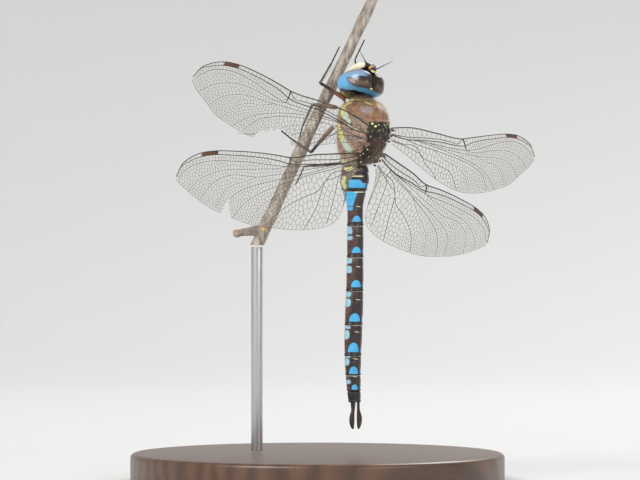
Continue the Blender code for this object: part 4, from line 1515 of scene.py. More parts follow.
HEAD_CENTRE = (0.0, -1.0, 58.95)
HEAD_NOD = math.radians(-17.0)
HEAD_TIP = math.radians(14.0)
HEAD_TURN = math.radians(-3.0)
EYE_CENTRE = (1.76, -0.25, 0.0)
EYE_RADII = (2.13, 3.3, 1.88)
EYE_LEAN = math.radians(19.0)
EYE_SQUARENESS = (2.5, 4.5)  # of the hind half at its outer side, and how much more inside
EYE_INSET = 0.02
FACE_STATIONS = (
    (-2.50, 0.70, 2.95, 2.30), (-2.25, 1.25, 3.25, 1.95), (-1.60, 1.80, 3.55, 1.60),
    (-0.60, 2.10, 3.68, 1.40), (0.60, 2.25, 3.50, 1.30), (1.30, 2.25, 3.15, 1.25),
    (2.30, 2.15, 2.70, 1.15), (3.30, 1.75, 1.95, 0.95), (3.75, 1.20, 1.45, 0.90),
)
HEAD_FRAME = np.array(
    Matrix.Rotation(HEAD_TURN, 3, "Z")
    @ Matrix.Rotation(HEAD_TIP, 3, "Y")
    @ Matrix.Rotation(HEAD_NOD, 3, "X")
)


def on_head(points):
    """Body places of points given from the head's own centre."""
    return np.asarray(points, float) @ HEAD_FRAME.T + HEAD_CENTRE


def eye_surface(side, turn, level):
    """Places from the head's centre on an eye: degrees out from the back, degrees up."""
    a, b = np.radians(turn), np.radians(level)
    dome = np.stack([side * np.sin(a) * np.cos(b), -np.cos(a) * np.cos(b), np.sin(b)], -1)
    flat = np.linalg.norm(dome[..., :2], axis=-1)
    square = EYE_SQUARENESS[0] + EYE_SQUARENESS[1] * (0.5 + 0.5 * np.cos(a + 0.2)) ** 2
    power = flat**square + np.abs(dome[..., 2]) ** square
    swell = np.where(dome[..., 2] < 0, power ** (-1 / square), 1.0)
    dome = dome * swell[..., None] * (np.array(EYE_RADII) - EYE_INSET)
    lean = np.array(Matrix.Rotation(-side * EYE_LEAN, 3, "Z"))
    centre = np.array([side * EYE_CENTRE[0], EYE_CENTRE[1], EYE_CENTRE[2]])
    return dome @ lean.T + centre


DEGREE = 0.045  # millimetres of eye surface for a degree, near enough


def eye_marks(turn, level):
    """Distances in millimetres to the colour zones of an eye, positive inside them; the back zone is
    painted shade.
    """
    out = wrapped(turn)
    edge = np.interp(
        out, (-180, -60, -29, -12, 10, 45, 66, 76, 85, 93, 97, 102, 110, 150, 180),
        (-70, -46, -49, -56, -60, -60, -55, -49, -41, -30, -8, 24, 34, 24, -60),
    )
    blue = (edge - level) * DEGREE / (1 + 4 * ramp(out, 78, 100))
    x, y, z = eye_surface(-1, turn, level).T
    # painted shade: the lower rear of the eye, turned towards the thorax, is painted nearly black
    back = np.minimum(y + 0.45 - 1.4 * np.maximum(0, -x - 2.2), -1.3 - z)
    across = (out - 79) * 0.66 + (level + 26) * 0.75
    along = (level + 26) * 0.66 - (out - 79) * 0.75
    pupil = (1 - np.hypot(across / 23, along / 9)) * 9 * DEGREE
    ring = 1.6 * DEGREE - np.abs(pupil)
    long_way = np.clip((out - 28) / 38, 0, 1)
    streak = (4.6 * np.sin(math.pi * np.clip(long_way, 0.06, 0.94))
              - np.hypot(out - (28 + 38 * long_way), level + 14 - 7 * long_way)) * DEGREE
    violet = np.minimum(level + 13 + 0.3 * (out - 60), (out - 22) * 0.6) * DEGREE
    lower = np.minimum(level - edge - 3, -30 + 0.3 * (out - 40) - level) * DEGREE
    seam = (24 - np.abs(out + 18)) * DEGREE
    tan = np.minimum(level - 34, 60 - np.abs(out - 55)) * DEGREE
    return {
        "blue": blue, "back": back, "pupil": pupil, "ring": ring, "streak": streak,
        "violet": violet, "band": lower, "near": seam, "tan": tan,
    }


def make_eye_material(name, light):
    """Bronze-brown eye with blue zones; light is how much blue the upper part shows: painted light,
    full on the lit left eye and low on the right eye, painted as in shade.
    """
    material, tree, shader, place = new_material(
        name, 0.28, Specular_IOR_Level=0.32, Coat_Weight=0.3, Coat_Roughness=0.12)
    bronze = mottled(tree, place, (40, 27, 20), (76, 53, 39), 500.0, 1.6)
    colour = lay_marks(tree, place, bronze, (("near", (36, 23, 17), 1.1, 0.2),))
    violet = mottled(tree, place, (92, 124, 158), (136, 168, 196), 420.0, 1.4)
    colour = lay_marks(tree, place, colour, (
        # painted light: the blue-violet upper part comes in as far as light says
        ("violet", mix_colour(tree, light, colour, violet), 0.6, 0.3, 700.0),
        ("tan", (122, 96, 82), 0.7, 0.2),
        ("band", (96, 76, 66), 0.6, 0.1),
    ))
    rose = mottled(tree, place, (140, 122, 116), (176, 154, 146), 700.0)
    colour = lay_marks(tree, place, colour, (
        # painted light: the rose oval is as strong as light says
        ("pupil", mix_colour(tree, light, colour, rose), 0.5, 0.1),
        ("ring", (58, 62, 76), 0.16, 0.04),
        ("streak", (24, 24, 32), 0.14, 0.08),
        ("blue", ((74, 150, 204), (112, 184, 226), 600.0, 1.5), 0.40, 0.12),
        # painted shade: nearly black on the eye's lower rear
        ("back", (16, 14, 14), 0.16, 0.12),
    ))
    feed(tree, colour, shader.inputs["Base Color"])
    facets = add_node(tree, "ShaderNodeTexVoronoi", feature="F1", Vector=place, Scale=26000.0)
    add_bump(tree, shader, facets.outputs["Distance"], 0.004, 0.5)
    return material


def add_eyes():
    """Two eyes that close against each other along the seam."""
    columns, levels = 132, 84
    turns = np.linspace(-180, 180, columns, endpoint=False)
    level, turn = np.meshgrid(np.linspace(-90, 90, levels + 1), turns, indexing="ij")
    # painted light: the left eye is painted lit and the right eye painted in shade
    for side, word, light in ((-1, "left", 1.0), (1, "right", 0.22)):
        points = eye_surface(side, turn, level).reshape(-1, 3)
        points[:, 0] = side * np.maximum(side * points[:, 0], 0.015)
        obj = add_piece(f"eye_{word}_dome", on_head(points), band_faces(levels + 1, columns))
        for name, values in eye_marks(turn.ravel(), level.ravel()).items():
            give(obj, name, values)
        close_up(obj)
        finish_piece(obj, make_eye_material(f"eye_{word}", light), (f"eye_{word}",))


def face_marks(points):
    """Distances in millimetres to the face's marks, from places in the head's frame."""
    x, y, z = np.abs(points[:, 0]), points[:, 1], points[:, 2]
    stem = np.minimum(0.45 + 0.75 * ramp(-y, 0.2, 1.5) - x, 1.0 - y)
    bar = np.minimum(1.45 - x, 0.34 - np.abs(y - 0.95) + 0.12 * x)
    mark = np.minimum(np.maximum(stem, bar), z - 1.80)
    cap = np.minimum(0.98 - x, -1.75 - y)
    mark = np.maximum(mark, cap)
    line = np.minimum(1.85 + 0.25 * ramp(-y, 0.8, 2.2) - z, 1.0)
    socket = 0.30 - np.linalg.norm(np.stack([x - 0.66, y + 2.92, z - 1.98], -1), axis=1)
    crescent = np.minimum(0.50 - x, 0.13 - np.abs(z - 1.22 - 0.6 * x * x))
    crescent = np.minimum(crescent, -2.7 - y)
    suture = 0.06 - np.abs(y - 1.75)
    return {
        "mark": mark, "line": line, "socket": socket, "crescent": crescent, "suture": suture,
        "shelf": y - 1.2,
    }


def make_face_material():
    """Cream face with a black T and two amber sockets."""
    marks = (
        ("shelf", ((204, 196, 128), (226, 222, 160), 1100.0, 1.3), 0.4, 0.2),
        ("suture", (70, 52, 36), 0.06, 0.04),
        ("line", (20, 16, 14), 0.08, 0.06),
        ("mark", (16, 12, 11), 0.08, 0.10),
        ("socket", ((216, 140, 50), (240, 180, 84), 1500.0, 1.3), 0.10, 0.08),
        ("crescent", (240, 222, 120), 0.05, 0.05),
    )
    return make_shell("face_shell", 0.35, ((214, 206, 176), (244, 238, 214), 1000.0, 1.3),
                      marks, (6500.0, 0.8, 0.014), Coat_Weight=0.2, Coat_Roughness=0.25)


def add_face():
    """Frons, clypeus and upper lip, with the swollen vertex behind them."""
    half_at, top_at, under_at = [
        smooth_through([(row[0], row[k]) for row in FACE_STATIONS]) for k in (1, 2, 3)
    ]
    count, rows = 96, 110
    turns = np.linspace(0, 2 * math.pi, count, endpoint=False)
    s = np.linspace(0, 1, rows)
    y = -2.48 + (3.73 + 2.48) * (1 - np.cos(math.pi * s)) / 2
    half, top, under = half_at(y), top_at(y), under_at(y)
    close = np.sqrt(np.clip(1 - (np.maximum(0, -2.25 - y) / 0.25) ** 2, 0.02, 1))
    close = close * np.sqrt(np.clip(1 - (np.maximum(0, y - 3.4) / 0.36) ** 2, 0.02, 1))
    crease = 0.07 * ridge(y - 1.75, 0.10) + 0.05 * ridge(y - 2.9, 0.08)
    depth = ((top - under) / 2 - crease - 0.02) * close
    half = (half - crease - 0.02) * close
    points = np.stack([
        half[:, None] * np.cos(turns), np.repeat(y[:, None], count, 1),
        ((top + under) / 2)[:, None] + depth[:, None] * np.sin(turns),
    ], -1)
    furrow = ridge(points[..., 0], 0.22) * ramp(-points[..., 1], -0.6, 0.4) * 0.06
    points[..., 2] -= furrow * (points[..., 2] > 2.2)
    knob = ball((0, -2.59, 1.70), (0.84, 0.64, 0.84))
    points, faces = together((points.reshape(-1, 3), capped_faces(rows, count)), knob)
    obj = add_piece("face_shell", on_head(points), faces)
    for name, values in face_marks(points).items():
        give(obj, name, values)
    close_up(obj)
    finish_piece(obj, make_face_material(), ("face",))


def add_mouth():
    """The lower lip with its two side lobes."""
    points, faces = ball((0.0, 3.5, -0.3), (1.73, 0.63, 1.33), 64, 40)
    cleft = ridge(points[:, 0], 0.1) * 0.10 + ridge(np.abs(points[:, 0]) - 0.75, 0.08) * 0.06
    points[:, 1] -= cleft * (points[:, 1] > 3.5)
    obj = add_piece("mouth_plate", on_head(points), faces)
    close_up(obj)
    ochre = make_shell("lower_lip", 0.42, ((150, 120, 70), (212, 190, 130), 1100.0, 1.8), (),
                       (6500.0, 0.8, 0.015))
    finish_piece(obj, ochre, ("labium",))


def add_capsule():
    """The black back of the head that carries the eyes, and the pale plate at their seam."""
    points, faces = ball((0.0, 0.0, -0.05), (2.6, 2.5, 1.78), 72, 48)
    obj = add_piece("head_capsule", on_head(points), faces)
    close_up(obj)
    black = make_plain_shell("head_black", (12, 10, 10), (40, 30, 26), 0.5)
    finish_piece(obj, black, ("head",))
    seam = eye_surface(-1, np.linspace(-40, 0, 81), np.full(81, -43.0))
    middle = seam[np.abs(seam[:, 0]).argmin()]
    rows = [(
        on_head(middle + (0.0, 0.10, -0.02)), (0.36, 0.20, 0.30),
        Matrix(HEAD_FRAME.tolist()) @ Matrix.Rotation(math.radians(-30), 3, "X"),
    )]
    pale = make_plain_shell("occiput_yellow", (206, 196, 110), (238, 230, 150), 0.4)
    add_lumps("occiput", rows, pale)


def add_feelers():
    """Short bristle-like antennae, each on two thicker joints."""
    material = make_plain_shell("feeler_black", (14, 11, 11), (48, 36, 30))
    for side, word in ((-1, "left"), (1, "right")):
        root = np.array([side * 0.95, -2.75, 2.1])
        reach = np.array([side * 2.9, -0.9, 2.1])
        base = np.array([side * 0.70, -2.75, 2.05])
        s = np.linspace(0, 1, 24)[:, None]
        joint = root + reach * 0.10
        lower = base + (joint - base) * s
        upper = joint + (root + reach * 0.985 - joint) * s
        net = Net()
        net.add_path(on_head(lower), 0.15 - 0.05 * s[:, 0])
        net.add_path(on_head(upper), 0.075 * (1 - 0.75 * s[:, 0]) + 0.012)
        obj = add_tubes(f"feeler_{word}", net, material, 10)
        finish_piece(obj, None, (f"antenna_{word}",))


add_eyes()
add_face()
add_mouth()
add_capsule()
add_feelers()

# ---------------------------------------------------------------- legs

LEGS = {
    "front_left": ((-1.3, 1.75, 56.3), (-4.6, 4.6, 59.2), (62.9, 140), (65.6, 135)),
    "front_right": ((1.3, 1.75, 56.3), (4.2, 4.3, 58.9), (63.4, -42), (66.8, -40)),
    "mid_left": ((-1.7, 3.45, 55.0), (-3.85, 7.6, 55.6), (51.8, 112), (48.8, 80)),
    "mid_right": ((1.7, 3.45, 55.0), (3.4, 6.6, 54.6), (58.2, -40), (61.0, -20)),
    "hind_left": (
        (-1.7, 4.5, 51.8), (-4.6, 7.0, 47.4), (-9.4, 6.3, 49.5), (-12.1, 5.9, 50.9)),
    "hind_right": ((1.7, 4.5, 51.8), (0.8, 5.3, 45.6), (45.0, -40), (42.0, -38)),
}
TWIG_RADIUS = 1.25
TWIG_CROSSING = (0.3, 6.2, 60.5)
TWIG_LEAN = (0.4, -0.254)
TWIG_ENDS = (31.5, 75.0)
STUB_HEIGHT = 34.2
STUB_REACH = (-5.0, 2.2, -0.7)
GRIP_CLEARANCE = 0.62
# How brown the thigh's base is, and how grey the shin's painted highlight is, from 0 to 1
LEG_TINTS = {
    "front_left": (0.9, 0.5), "front_right": (0.5, 0.1), "mid_left": (0.8, 0.4),
    "mid_right": (0.3, 0.1), "hind_left": (0.8, 0.75), "hind_right": (0.3, 0.1),
}


def twig_axis(height):
    """The middle of the twig at a height."""
    x, y, crossing = TWIG_CROSSING
    rise = height - crossing
    sway = 0.35 * math.sin(rise / 6.5)
    return np.array([x + TWIG_LEAN[0] * rise + sway * 0.3, y + TWIG_LEAN[1] * rise, height])


def twig_radius(height):
    """The twig's radius, which swells at its nodes."""
    nodes = (36.0, 47.5, 58.0, 70.5)
    swell = sum(math.exp(-(((height - node) / 1.1) ** 2)) for node in nodes)
    return TWIG_RADIUS + 0.12 * swell - 0.004 * (height - TWIG_ENDS[0])


def grip(height, degrees):
    """Where a foot's axis lies beside the twig."""
    a = math.radians(degrees)
    reach = TWIG_RADIUS + GRIP_CLEARANCE
    return twig_axis(height) + np.array([math.cos(a), math.sin(a), 0]) * reach


def make_leg_material():
    """Black legs that turn brown where the tint says, and grey where it lays a painted highlight on
    the shin.
    """
    material, tree, shader, place = new_material("leg_shell", 0.36)
    colour = mottled(tree, place, (14, 12, 12), (44, 36, 34), 1800.0, 1.8)
    for field, first, second in (("brown", (96, 60, 40), (146, 98, 66)),
                                 # the grey tint is a painted highlight on the shin
                                 ("grey", (96, 86, 78), (142, 130, 118))):
        tint = mottled(tree, place, first, second, 1500.0)
        colour = mix_colour(tree, read_field(tree, field), colour, tint)
    finish_shell(tree, shader, place, colour, 7000.0, 0.6, 0.012)
    return material


def square_to(direction):
    """Two directions at right angles to one."""
    direction = unit(direction)
    first = unit(np.cross(direction, (0.3, 0.2, 1.0)))
    return first, np.cross(direction, first)


def add_spines(net, start, end, radius, count, length, rng):
    """Two rows of slanting bristles along the inner side of a joint."""
    first, second = square_to(end - start)
    along = unit(end - start)
    for k in range(count):
        share = 0.12 + 0.84 * k / count
        for side in (-1, 1):
            turn = side * 0.75 + rng.normal(0, 0.12)
            out = first * math.cos(turn) + second * math.sin(turn)
            root = start + (end - start) * share + out * radius * 0.6
            tip = root + (out * 0.75 + along * 0.65) * length * rng.uniform(0.8, 1.1)
            middle = (root + tip) / 2 + along * 0.04
            net.add_path([root, middle, tip], (0.035, 0.024, 0.006))


def add_leg(word, material, rng):
    """Thigh, shin, three-jointed foot with two claws, and their bristles."""
    hip, knee, ankle, toe = [
        np.array(stop, float) if len(stop) == 3 else grip(*stop) for stop in LEGS[word]
    ]
    net = Net()
    s = np.linspace(0, 1, 26)
    bow = 4 * (s * (1 - s))[:, None] * (0, 0, 1)
    thigh = 0.30 + 0.13 * np.exp(-((s - 0.28) / 0.28) ** 2) - 0.05 * s
    thigh[-3:] += (0.02, 0.03, -0.04)
    thigh[0] *= 0.7
    net.add_path(hip + (knee - hip) * s[:, None] + bow * 0.1, thigh)
    cut = len(net.places)
    shin = 0.20 - 0.05 * s + 0.05 * np.exp(-(s / 0.08) ** 2)
    shin[-1] *= 0.8
    net.add_path(knee + (ankle - knee) * s[:, None] + bow * 0.05, shin)
    ends = len(net.places)
    for low, high, radius in ((0.0, 0.24, 0.12), (0.27, 0.55, 0.115), (0.58, 0.96, 0.11)):
        share = np.linspace(low, high, 7)
        swell = radius * (1 + 0.25 * np.linspace(0, 1, 7) ** 3)
        net.add_path(ankle + (toe - ankle) * share[:, None], swell)
    net.add_path(ankle + (toe - ankle) * np.array([[0.0], [0.97]]), 0.075)
    first, second = square_to(toe - ankle)
    along = unit(toe - ankle)
    for side in (-1, 1):
        root = ankle + (toe - ankle) * 0.95
        steps = [
            root + along * 0.26 * k + second * side * 0.09 * k - first * 0.05 * k * k
            for k in (0, 0.5, 1, 1.35)
        ]
        net.add_path(steps, (0.055, 0.045, 0.03, 0.01))
    add_spines(net, hip, knee, 0.3, 9, 0.35, rng)
    add_spines(net, knee, ankle, 0.18, 11, 0.62, rng)
    add_spines(net, ankle, toe, 0.1, 8, 0.16, rng)
    brown, grey = LEG_TINTS[word]
    tints = np.zeros((len(net.places), 2))
    tints[:cut, 0] = brown * (1 - ramp(s, 0.25, 0.75))
    # painted highlight: grey along the upper shin, fading towards the ankle
    tints[cut:ends, 1] = grey * (1 - ramp(s, 0.55, 0.85))
    obj = add_tubes(f"leg_{word}", net, material, 9, {"brown": tints[:, 0], "grey": tints[:, 1]})
    nodes = tuple(f"{joint}_{word}" for joint in ("femur", "tibia", "tarsus"))
    finish_piece(obj, None, nodes)


def add_legs():
    material = make_leg_material()
    rng = np.random.default_rng(5)
    for word in LEGS:
        add_leg(word, material, rng)


add_legs()

# ---------------------------------------------------------------- perch


def twig_marks(points, height, turn):
    """Fields for the bark: lichen patches, the fresh cut ends, and painted shade down one side."""
    spots = ((34.3, 3.9, 0.30), (53.5, 4.2, 0.26), (57.6, 3.2, 0.16), (41.0, 4.6, 0.22),
             (35.2, 3.0, 0.24), (66.5, 3.5, 0.20), (69.0, 4.4, 0.22))
    lichen = np.full(len(points), -1.0)
    for level, angle, radius in spots:
        centre = twig_axis(level) + np.array([math.cos(angle), math.sin(angle), 0]) * 1.28
        lichen = np.maximum(lichen, radius - np.linalg.norm(points - centre, axis=1))
    ends = np.maximum(height - (TWIG_ENDS[1] - 0.08), TWIG_ENDS[0] + 0.08 - height)
    # painted shade: one side of the twig is made darker, standing for its shaded side
    shade = np.sin(turn - 0.4)
    return {"lichen": lichen, "cut": ends, "shade": shade}


def rough_tube(middles, radii, across, over, count, scale):
    """Rings round a bent axis, roughened by ridges that run along it."""
    turns = np.linspace(0, 2 * math.pi, count, endpoint=False)
    ring = np.cos(turns)[:, None] * across + np.sin(turns)[:, None] * over
    points = np.vstack([middle + ring * radius for middle, radius in zip(middles, radii)])
    lumps = np.array([
        noise.noise((p[0] * scale * 1.6, p[1] * scale * 1.6, p[2] * scale * 0.5)) for p in points
    ])
    fine = np.array([noise.noise(p * scale * 4.5) for p in points])
    out = unit(points - np.repeat(np.array(middles), count, 0))
    points = points + out * (0.07 * lumps + 0.035 * fine - 0.05)[:, None]
    return points, capped_faces(len(radii), count), np.tile(turns, len(radii))


def make_bark_material():
    """Weathered grey-beige bark with cracks and orange lichen, and painted shade down one side."""
    material, tree, shader, place = new_material("weathered_bark", 0.9)
    grainy = stretched(tree, place, (1.0, 1.0, 0.28))
    colour = mottled(tree, grainy, (116, 102, 92), (214, 204, 192), 900.0, 3.0)
    cracks = add_node(tree, "ShaderNodeTexNoise", Vector=grainy, Scale=2600.0, Detail=6.0,
                      Roughness=0.7)
    dark = math_node(tree, "SUBTRACT", 0.46, cracks.outputs["Fac"])
    dark = math_node(tree, "MULTIPLY", dark, 7.0, clamp=True)
    colour = mix_colour(tree, dark, colour, paint(66, 54, 46))
    # painted shade: a darker mottle laid down the twig's shaded side
    shade = mottled(tree, grainy, (92, 78, 68), (150, 132, 116), 1100.0, 2.0)
    mask = use_group(tree, MARK, Field=read_field(tree, "shade"), Place=grainy, Softness=1.2,
                     Waver=2.6, Scale=420.0).outputs["Mask"]
    colour = mix_colour(tree, math_node(tree, "MULTIPLY", mask, 0.55), colour, shade)
    colour = lay_marks(tree, place, colour, (
        ("lichen", ((206, 150, 40), (228, 196, 96), 2600.0), 0.10, 0.5, 3200.0),
        ("cut", ((176, 146, 106), (214, 190, 150), 2200.0), 0.05, 0.03),
    ))
    feed(tree, colour, shader.inputs["Base Color"])
    grain = use_group(tree, GRAIN, Place=place, Scale=3800.0, Pits=0.6).outputs["Height"]
    add_bump(tree, shader, math_node(tree, "ADD", cracks.outputs["Fac"], grain), 0.12)
    return material


def add_twig():
    """The cut length of twig with its broken side stub."""
    heights = np.linspace(*TWIG_ENDS, 460)
    middles = [twig_axis(height) for height in heights]
    radii = [twig_radius(height) * 0.985 for height in heights]
    points, faces, turn = rough_tube(middles, radii, np.array([1.0, 0, 0]),
                                     np.array([0, 1.0, 0]), 84, 1.0)
    level = np.repeat(heights, 84)
    fields = twig_marks(points, level, turn)
    start, reach = twig_axis(STUB_HEIGHT), np.array(STUB_REACH)
    across = unit(np.cross(reach, (0, 0, 1)))
    over = np.cross(across, unit(reach))
    share = np.linspace(0.05, 1.0, 70)
    radius_at = smooth_through(((0.05, 1.1), (0.45, 0.85), (0.75, 0.7), (0.9, 0.8), (1.0, 0.55)))
    stub, stub_faces, stub_turn = rough_tube(
        [start + reach * s for s in share], radius_at(share) * 0.96, across, over, 60, 1.3)
    stub_fields = twig_marks(stub, np.full(len(stub), 50.0), stub_turn)
    stub_fields["cut"] = np.repeat(share, 60) - 0.992
    stub_lichen = stub - (start + reach * 0.86 + over * 0.62)
    stub_fields["lichen"] = 0.42 - np.linalg.norm(stub_lichen, axis=1)
    obj = add_piece("bark_twig", *together((points, faces), (stub, stub_faces)))
    for name in fields:
        give(obj, name, np.concatenate([fields[name], stub_fields[name]]))
    close_up(obj)
    finish_piece(obj, make_bark_material(), ("perch_twig",))


# ---------------------------------------------------------------- stand


def lathe(name, profile, middle, count, material, node):
    """A turned piece from (radius, height) points that start and end on its axis."""
    points, faces = turned(profile, middle, count)
    obj = add_piece(name, np.array(points) - AXIS, faces)
    close_up(obj)
    obj.data.set_sharp_from_angle(angle=math.radians(40))
    finish_piece(obj, material, (node,))


def rounded_disc(radius, low, high, edge, steps=8):
    """Profile of a disc whose rims are rounded by the edge radius."""
    profile = [(0.0, low), (radius - edge, low)]
    for k in range(1, steps + 1):
        a = math.radians(90 * k / steps)
        profile.append((radius - edge + edge * math.sin(a), low + edge * (1 - math.cos(a))))
    for k in range(steps + 1):
        a = math.radians(90 * k / steps)
        profile.append((radius - edge + edge * math.cos(a), high - edge * (1 - math.sin(a))))
    profile.append((0.0, high))
    return profile


def make_wood_material():
    """Dark stained hardwood with a satin finish."""
    material, tree, shader, place = new_material(
        "stained_wood", 0.38, Coat_Weight=0.25, Coat_Roughness=0.3)
    grainy = stretched(tree, place, (0.16, 1.0, 0.8))
    rings = add_node(tree, "ShaderNodeTexWave", bands_direction="Y", Vector=grainy, Scale=90.0,
                     Distortion=9.0, Detail=4.0)
    fibres = add_node(tree, "ShaderNodeTexNoise", Vector=grainy, Scale=2400.0, Detail=6.0,
                      Roughness=0.65)
    tone = math_node(tree, "MULTIPLY", rings.outputs["Fac"], 0.45)
    tone = math_node(tree, "ADD", tone, math_node(tree, "MULTIPLY", fibres.outputs["Fac"], 0.6))
    colour = mix_colour(tree, tone, paint(46, 30, 22), paint(108, 74, 52))
    feed(tree, colour, shader.inputs["Base Color"])
    add_bump(tree, shader, fibres.outputs["Fac"], 0.04, 0.35)
    return material


def make_steel_material():
    """Brushed steel rod."""
    material, tree, shader, place = new_material("brushed_steel", 0.3, Metallic=1.0)
    brushed = add_node(tree, "ShaderNodeTexNoise", Scale=9000.0, Detail=4.0,
                       Vector=stretched(tree, place, (1.0, 1.0, 0.03)))
    colour = mix_colour(tree, brushed.outputs["Fac"], (0.42, 0.42, 0.43), (0.62, 0.62, 0.63))
    feed(tree, colour, shader.inputs["Base Color"])
    add_bump(tree, shader, brushed.outputs["Fac"], 0.01, 0.4)
    return material


def add_stand():
    """The turned base and the rod."""
    low, high = box_mm("stand_base")
    middle = (low + high) / 2
    profile = rounded_disc((high[0] - low[0]) / 2 - 0.02, low[2], high[2] - 0.01, 0.8)
    lathe("turned_base", profile, middle, 160, make_wood_material(), "stand_base")
    low, high = box_mm("stand_rod")
    middle = (low + high) / 2
    profile = rounded_disc((high[0] - low[0]) / 2 - 0.01, low[2], high[2], 0.12, 4)
    lathe("steel_rod", profile, middle, 48, make_steel_material(), "stand_rod")


add_twig()
add_stand()

# ---------------------------------------------------------------- hair


def make_hair_tree():
    """Geometry Nodes: tapering, bent hairs scattered over a skin and laid down its length."""
    tree, given, end = new_group(
        "GeometryNodeTree", "fine hairs",
        (("Geometry", SHAPE, None), ("Density", FLOAT, 1e7), ("Length", FLOAT, 0.0008),
         ("Radius", FLOAT, 0.00001), ("Lean", FLOAT, 0.5), ("Seed", WHOLE, 1),
         ("Material", FINISH, None)),
        (("Geometry", SHAPE),),
    )
    thick = math_node(tree, "MULTIPLY", named_field(tree, "coat"), given["Density"])
    scatter = add_node(tree, "GeometryNodeDistributePointsOnFaces", Mesh=given["Geometry"],
                       Density=thick, Seed=given["Seed"])
    stray = add_node(tree, "FunctionNodeRandomValue", data_type="FLOAT_VECTOR",
                     Min=(-0.45, -0.45, -0.45), Max=(0.45, 0.45, 0.45))
    down = add_node(tree, "ShaderNodeCombineXYZ", Z=math_node(tree, "MULTIPLY", given["Lean"], -1.0))
    loose = add_vectors(tree, down.outputs["Vector"], stray.outputs["Value"])
    lay = add_vectors(tree, scatter.outputs["Normal"], loose)
    turn = add_node(tree, "FunctionNodeAlignRotationToVector", axis="Z", Vector=lay)
    size = add_node(tree, "FunctionNodeRandomValue", data_type="FLOAT")
    size.inputs[2].default_value = 0.55
    size.inputs[3].default_value = 1.15
    grow = add_node(tree, "GeometryNodeInstanceOnPoints", Points=scatter.outputs["Points"],
                    Instance=bent_strand(tree, given), Rotation=turn.outputs["Rotation"],
                    Scale=math_node(tree, "MULTIPLY", size.outputs[1], given["Length"]))
    real = add_node(tree, "GeometryNodeRealizeInstances", Geometry=grow.outputs["Instances"])
    root, patch = [named_field(tree, name, "FLOAT_VECTOR") for name in ("root", "strand")]
    small = add_node(tree, "ShaderNodeVectorMath", operation="SCALE", Vector=patch, Scale=0.003)
    store = add_node(tree, "GeometryNodeStoreNamedAttribute", data_type="FLOAT2",
                     domain="CORNER", Name="OFBake", Geometry=real.outputs["Geometry"],
                     Value=add_vectors(tree, root, small.outputs["Vector"]))
    end_shape(tree, end, store.outputs["Geometry"], given["Material"])
    return tree


def add_vectors(tree, first, second):
    """The sum of two vector sockets."""
    node = add_node(tree, "ShaderNodeVectorMath", operation="ADD")
    feed(tree, first, node.inputs[0])
    feed(tree, second, node.inputs[1])
    return node.outputs["Vector"]


def bent_strand(tree, given):
    """One tapering hair of length 1 that bends towards its tip, with its own unwrap."""
    cone = add_node(tree, "GeometryNodeMeshCone", Vertices=3, Side_Segments=3, Radius_Top=0.08,
                    Radius_Bottom=1.0, Depth=1.0)
    strand = add_node(tree, "GeometryNodeStoreNamedAttribute", data_type="FLOAT2",
                      domain="CORNER", Name="strand", Geometry=cone.outputs["Mesh"],
                      Value=cone.outputs["UV Map"])
    place = tree.nodes.new("GeometryNodeInputPosition").outputs["Position"]
    x, y, z = add_node(tree, "ShaderNodeSeparateXYZ", Vector=place).outputs
    width = math_node(tree, "DIVIDE", given["Radius"], given["Length"])
    curve = math_node(tree, "MULTIPLY", math_node(tree, "MULTIPLY", z, z), 0.35)
    bent = math_node(tree, "ADD", math_node(tree, "MULTIPLY", x, width), curve)
    shape = add_node(tree, "ShaderNodeCombineXYZ", X=bent,
                     Y=math_node(tree, "MULTIPLY", y, width), Z=z)
    bend = add_node(tree, "GeometryNodeSetPosition", Geometry=strand.outputs["Geometry"],
                    Position=shape.outputs["Vector"])
    return bend.outputs["Geometry"]


HAIRS = make_hair_tree()


def add_hair():
    """Pale hairs over the thorax, thickest on its shoulders and none between the wings."""
    obj = THORAX.copy()
    obj.data = THORAX.data.copy()
    obj.name = obj.data.name = "thorax_hair"
    bpy.context.scene.collection.objects.link(obj)
    places = np.array([v.co for v in obj.data.vertices]) / MM - AXIS
    height = places[:, 2]
    x, y, half_x, half_y = thorax_section(height)
    turn = np.degrees(np.arctan2(-(places[:, 0] - x) / half_x, -(places[:, 1] - y) / half_y))
    across = np.abs(wrapped(turn - THORAX_ROLL))
    bare = ramp(np.minimum(between(across, -1, 37) * 0.062, between(height, 49.3, 52.4)), 0, 0.3)
    shoulders = 0.45 + 1.3 * ramp(height, 53.6, 55.4) + 0.5 * ramp(across, 95, 130)
    give(obj, "coat", shoulders * (1 - bare) * (1 - 0.4 * ramp(-across, -50, -20)))
    u, v = 0.02 + 0.95 * (turn + 180) / 360, 0.02 + 0.96 * (height - 45.3) / 11.2
    root = np.column_stack([u, v, 0 * u]).ravel().astype(np.float32)
    obj.data.attributes.new("root", "FLOAT_VECTOR", "POINT").data.foreach_set("vector", root)
    pale, tree, shader, place = new_material("hair_tan", 0.45, Specular_IOR_Level=0.4)
    colour = mottled(tree, place, (176, 146, 104), (222, 204, 168), 1500.0, 2.0)
    feed(tree, colour, shader.inputs["Base Color"])
    modifier = obj.modifiers.new("hairs", "NODES")
    modifier.node_group = HAIRS
    set_inputs(modifier, Density=2.2e7, Length=0.62 * MM, Radius=0.010 * MM, Lean=0.5, Seed=3,
               Material=pale)
    plain_mesh(obj)
    kept = ("OFBake", "position", "material_index")
    for name in [field.name for field in obj.data.attributes]:
        if name not in kept and not name.startswith("."):
            obj.data.attributes.remove(obj.data.attributes[name])
    obj.data.shade_smooth()
    finish_piece(obj, pale)


add_hair()

# ---------------------------------------------------------------- studio


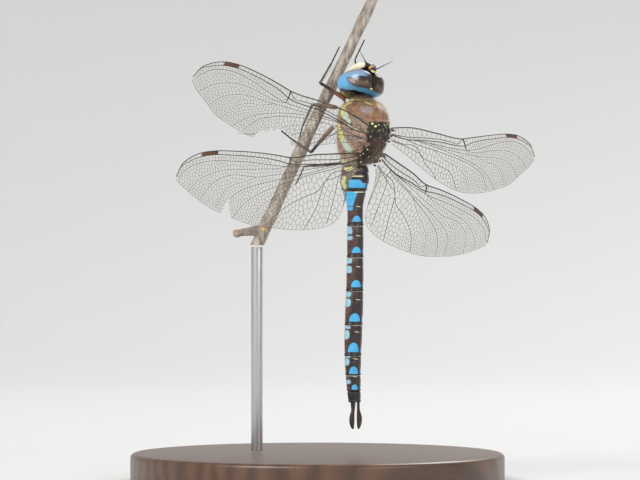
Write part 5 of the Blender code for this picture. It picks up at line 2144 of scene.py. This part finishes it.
def add_studio():
    """A pale floor that curves up all round, three soft lights and the camera."""
    low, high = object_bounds()
    middle = (low + high) / 2
    view = math.radians(-40)
    right = Vector((math.cos(view), math.sin(view), 0))
    towards = Vector((math.sin(view), -math.cos(view), 0))
    distance, aim_height, aim_left = 0.606, 0.0414, 0.0065
    target = Vector((AXIS[0] * MM, AXIS[1] * MM, aim_height)) - right * aim_left
    data = bpy.data.cameras.new("camera")
    data.lens, data.sensor_width = 200, 36
    data.clip_start, data.clip_end = 0.01, 20
    camera = bpy.data.objects.new("camera", data)
    camera.location = target + towards * distance
    camera.rotation_euler = (math.radians(90), 0, view)
    bpy.context.scene.collection.objects.link(camera)
    bpy.context.scene.camera = camera
    add_backdrop()
    add_lights(middle, towards, right)
    world = bpy.data.worlds.new("studio")
    world.use_nodes = True
    sky = world.node_tree.nodes["Background"]
    sky.inputs["Color"].default_value = (0.93, 0.95, 1.0, 1)
    sky.inputs["Strength"].default_value = 0.45
    bpy.context.scene.world = world
    bpy.context.scene.view_settings.view_transform = "Standard"


def add_backdrop():
    """A round dish, level in the middle and curving up all round, clear seen from outside."""
    level, rise, steps = 0.45, 0.55, 12
    profile = [(0.0, 0.0), (level, 0.0)]
    for k in range(1, steps + 1):
        a = math.radians(90 * k / steps)
        profile.append((level + rise * math.sin(a), rise * (1 - math.cos(a))))
    points, faces = turned(profile, (0, 0), 64)
    mesh = bpy.data.meshes.new("floor")
    mesh.from_pydata(points, [], [face[::-1] for face in faces])
    mesh.shade_smooth()
    floor = bpy.data.objects.new("floor", mesh)
    bpy.context.scene.collection.objects.link(floor)
    material, tree, shader, _place = new_material("floor_pale", 0.9)
    shader.inputs["Base Color"].default_value = (0.62, 0.62, 0.61, 1)
    facing = add_node(tree, "ShaderNodeNewGeometry")
    solid = math_node(tree, "SUBTRACT", 1.0, facing.outputs["Backfacing"])
    feed(tree, solid, shader.inputs["Alpha"])
    mesh.materials.append(material)


def add_lights(middle, towards, right):
    """Key from the upper left in front, fill from the right, and a rim light from behind."""
    rows = (
        ("key", towards * 0.62 - right * 0.52 + UP * 0.72, 0.5, 8.0, (1.0, 0.985, 0.96)),
        ("fill", towards * 0.6 + right * 0.62 + UP * 0.25, 0.6, 3.0, (0.96, 0.98, 1.0)),
        ("rim", -towards * 0.42 + right * 0.3 + UP * 0.55, 0.35, 3.6, (1.0, 1.0, 1.0)),
    )
    for name, offset, size, power, colour in rows:
        data = bpy.data.lights.new(name, "AREA")
        data.shape = "DISK"
        data.size, data.energy, data.color = size, power, colour
        light = bpy.data.objects.new(name, data)
        light.location = middle + offset
        light.rotation_euler = (-offset).to_track_quat("-Z", "Y").to_euler()
        light.visible_camera = False
        bpy.context.scene.collection.objects.link(light)


add_studio()
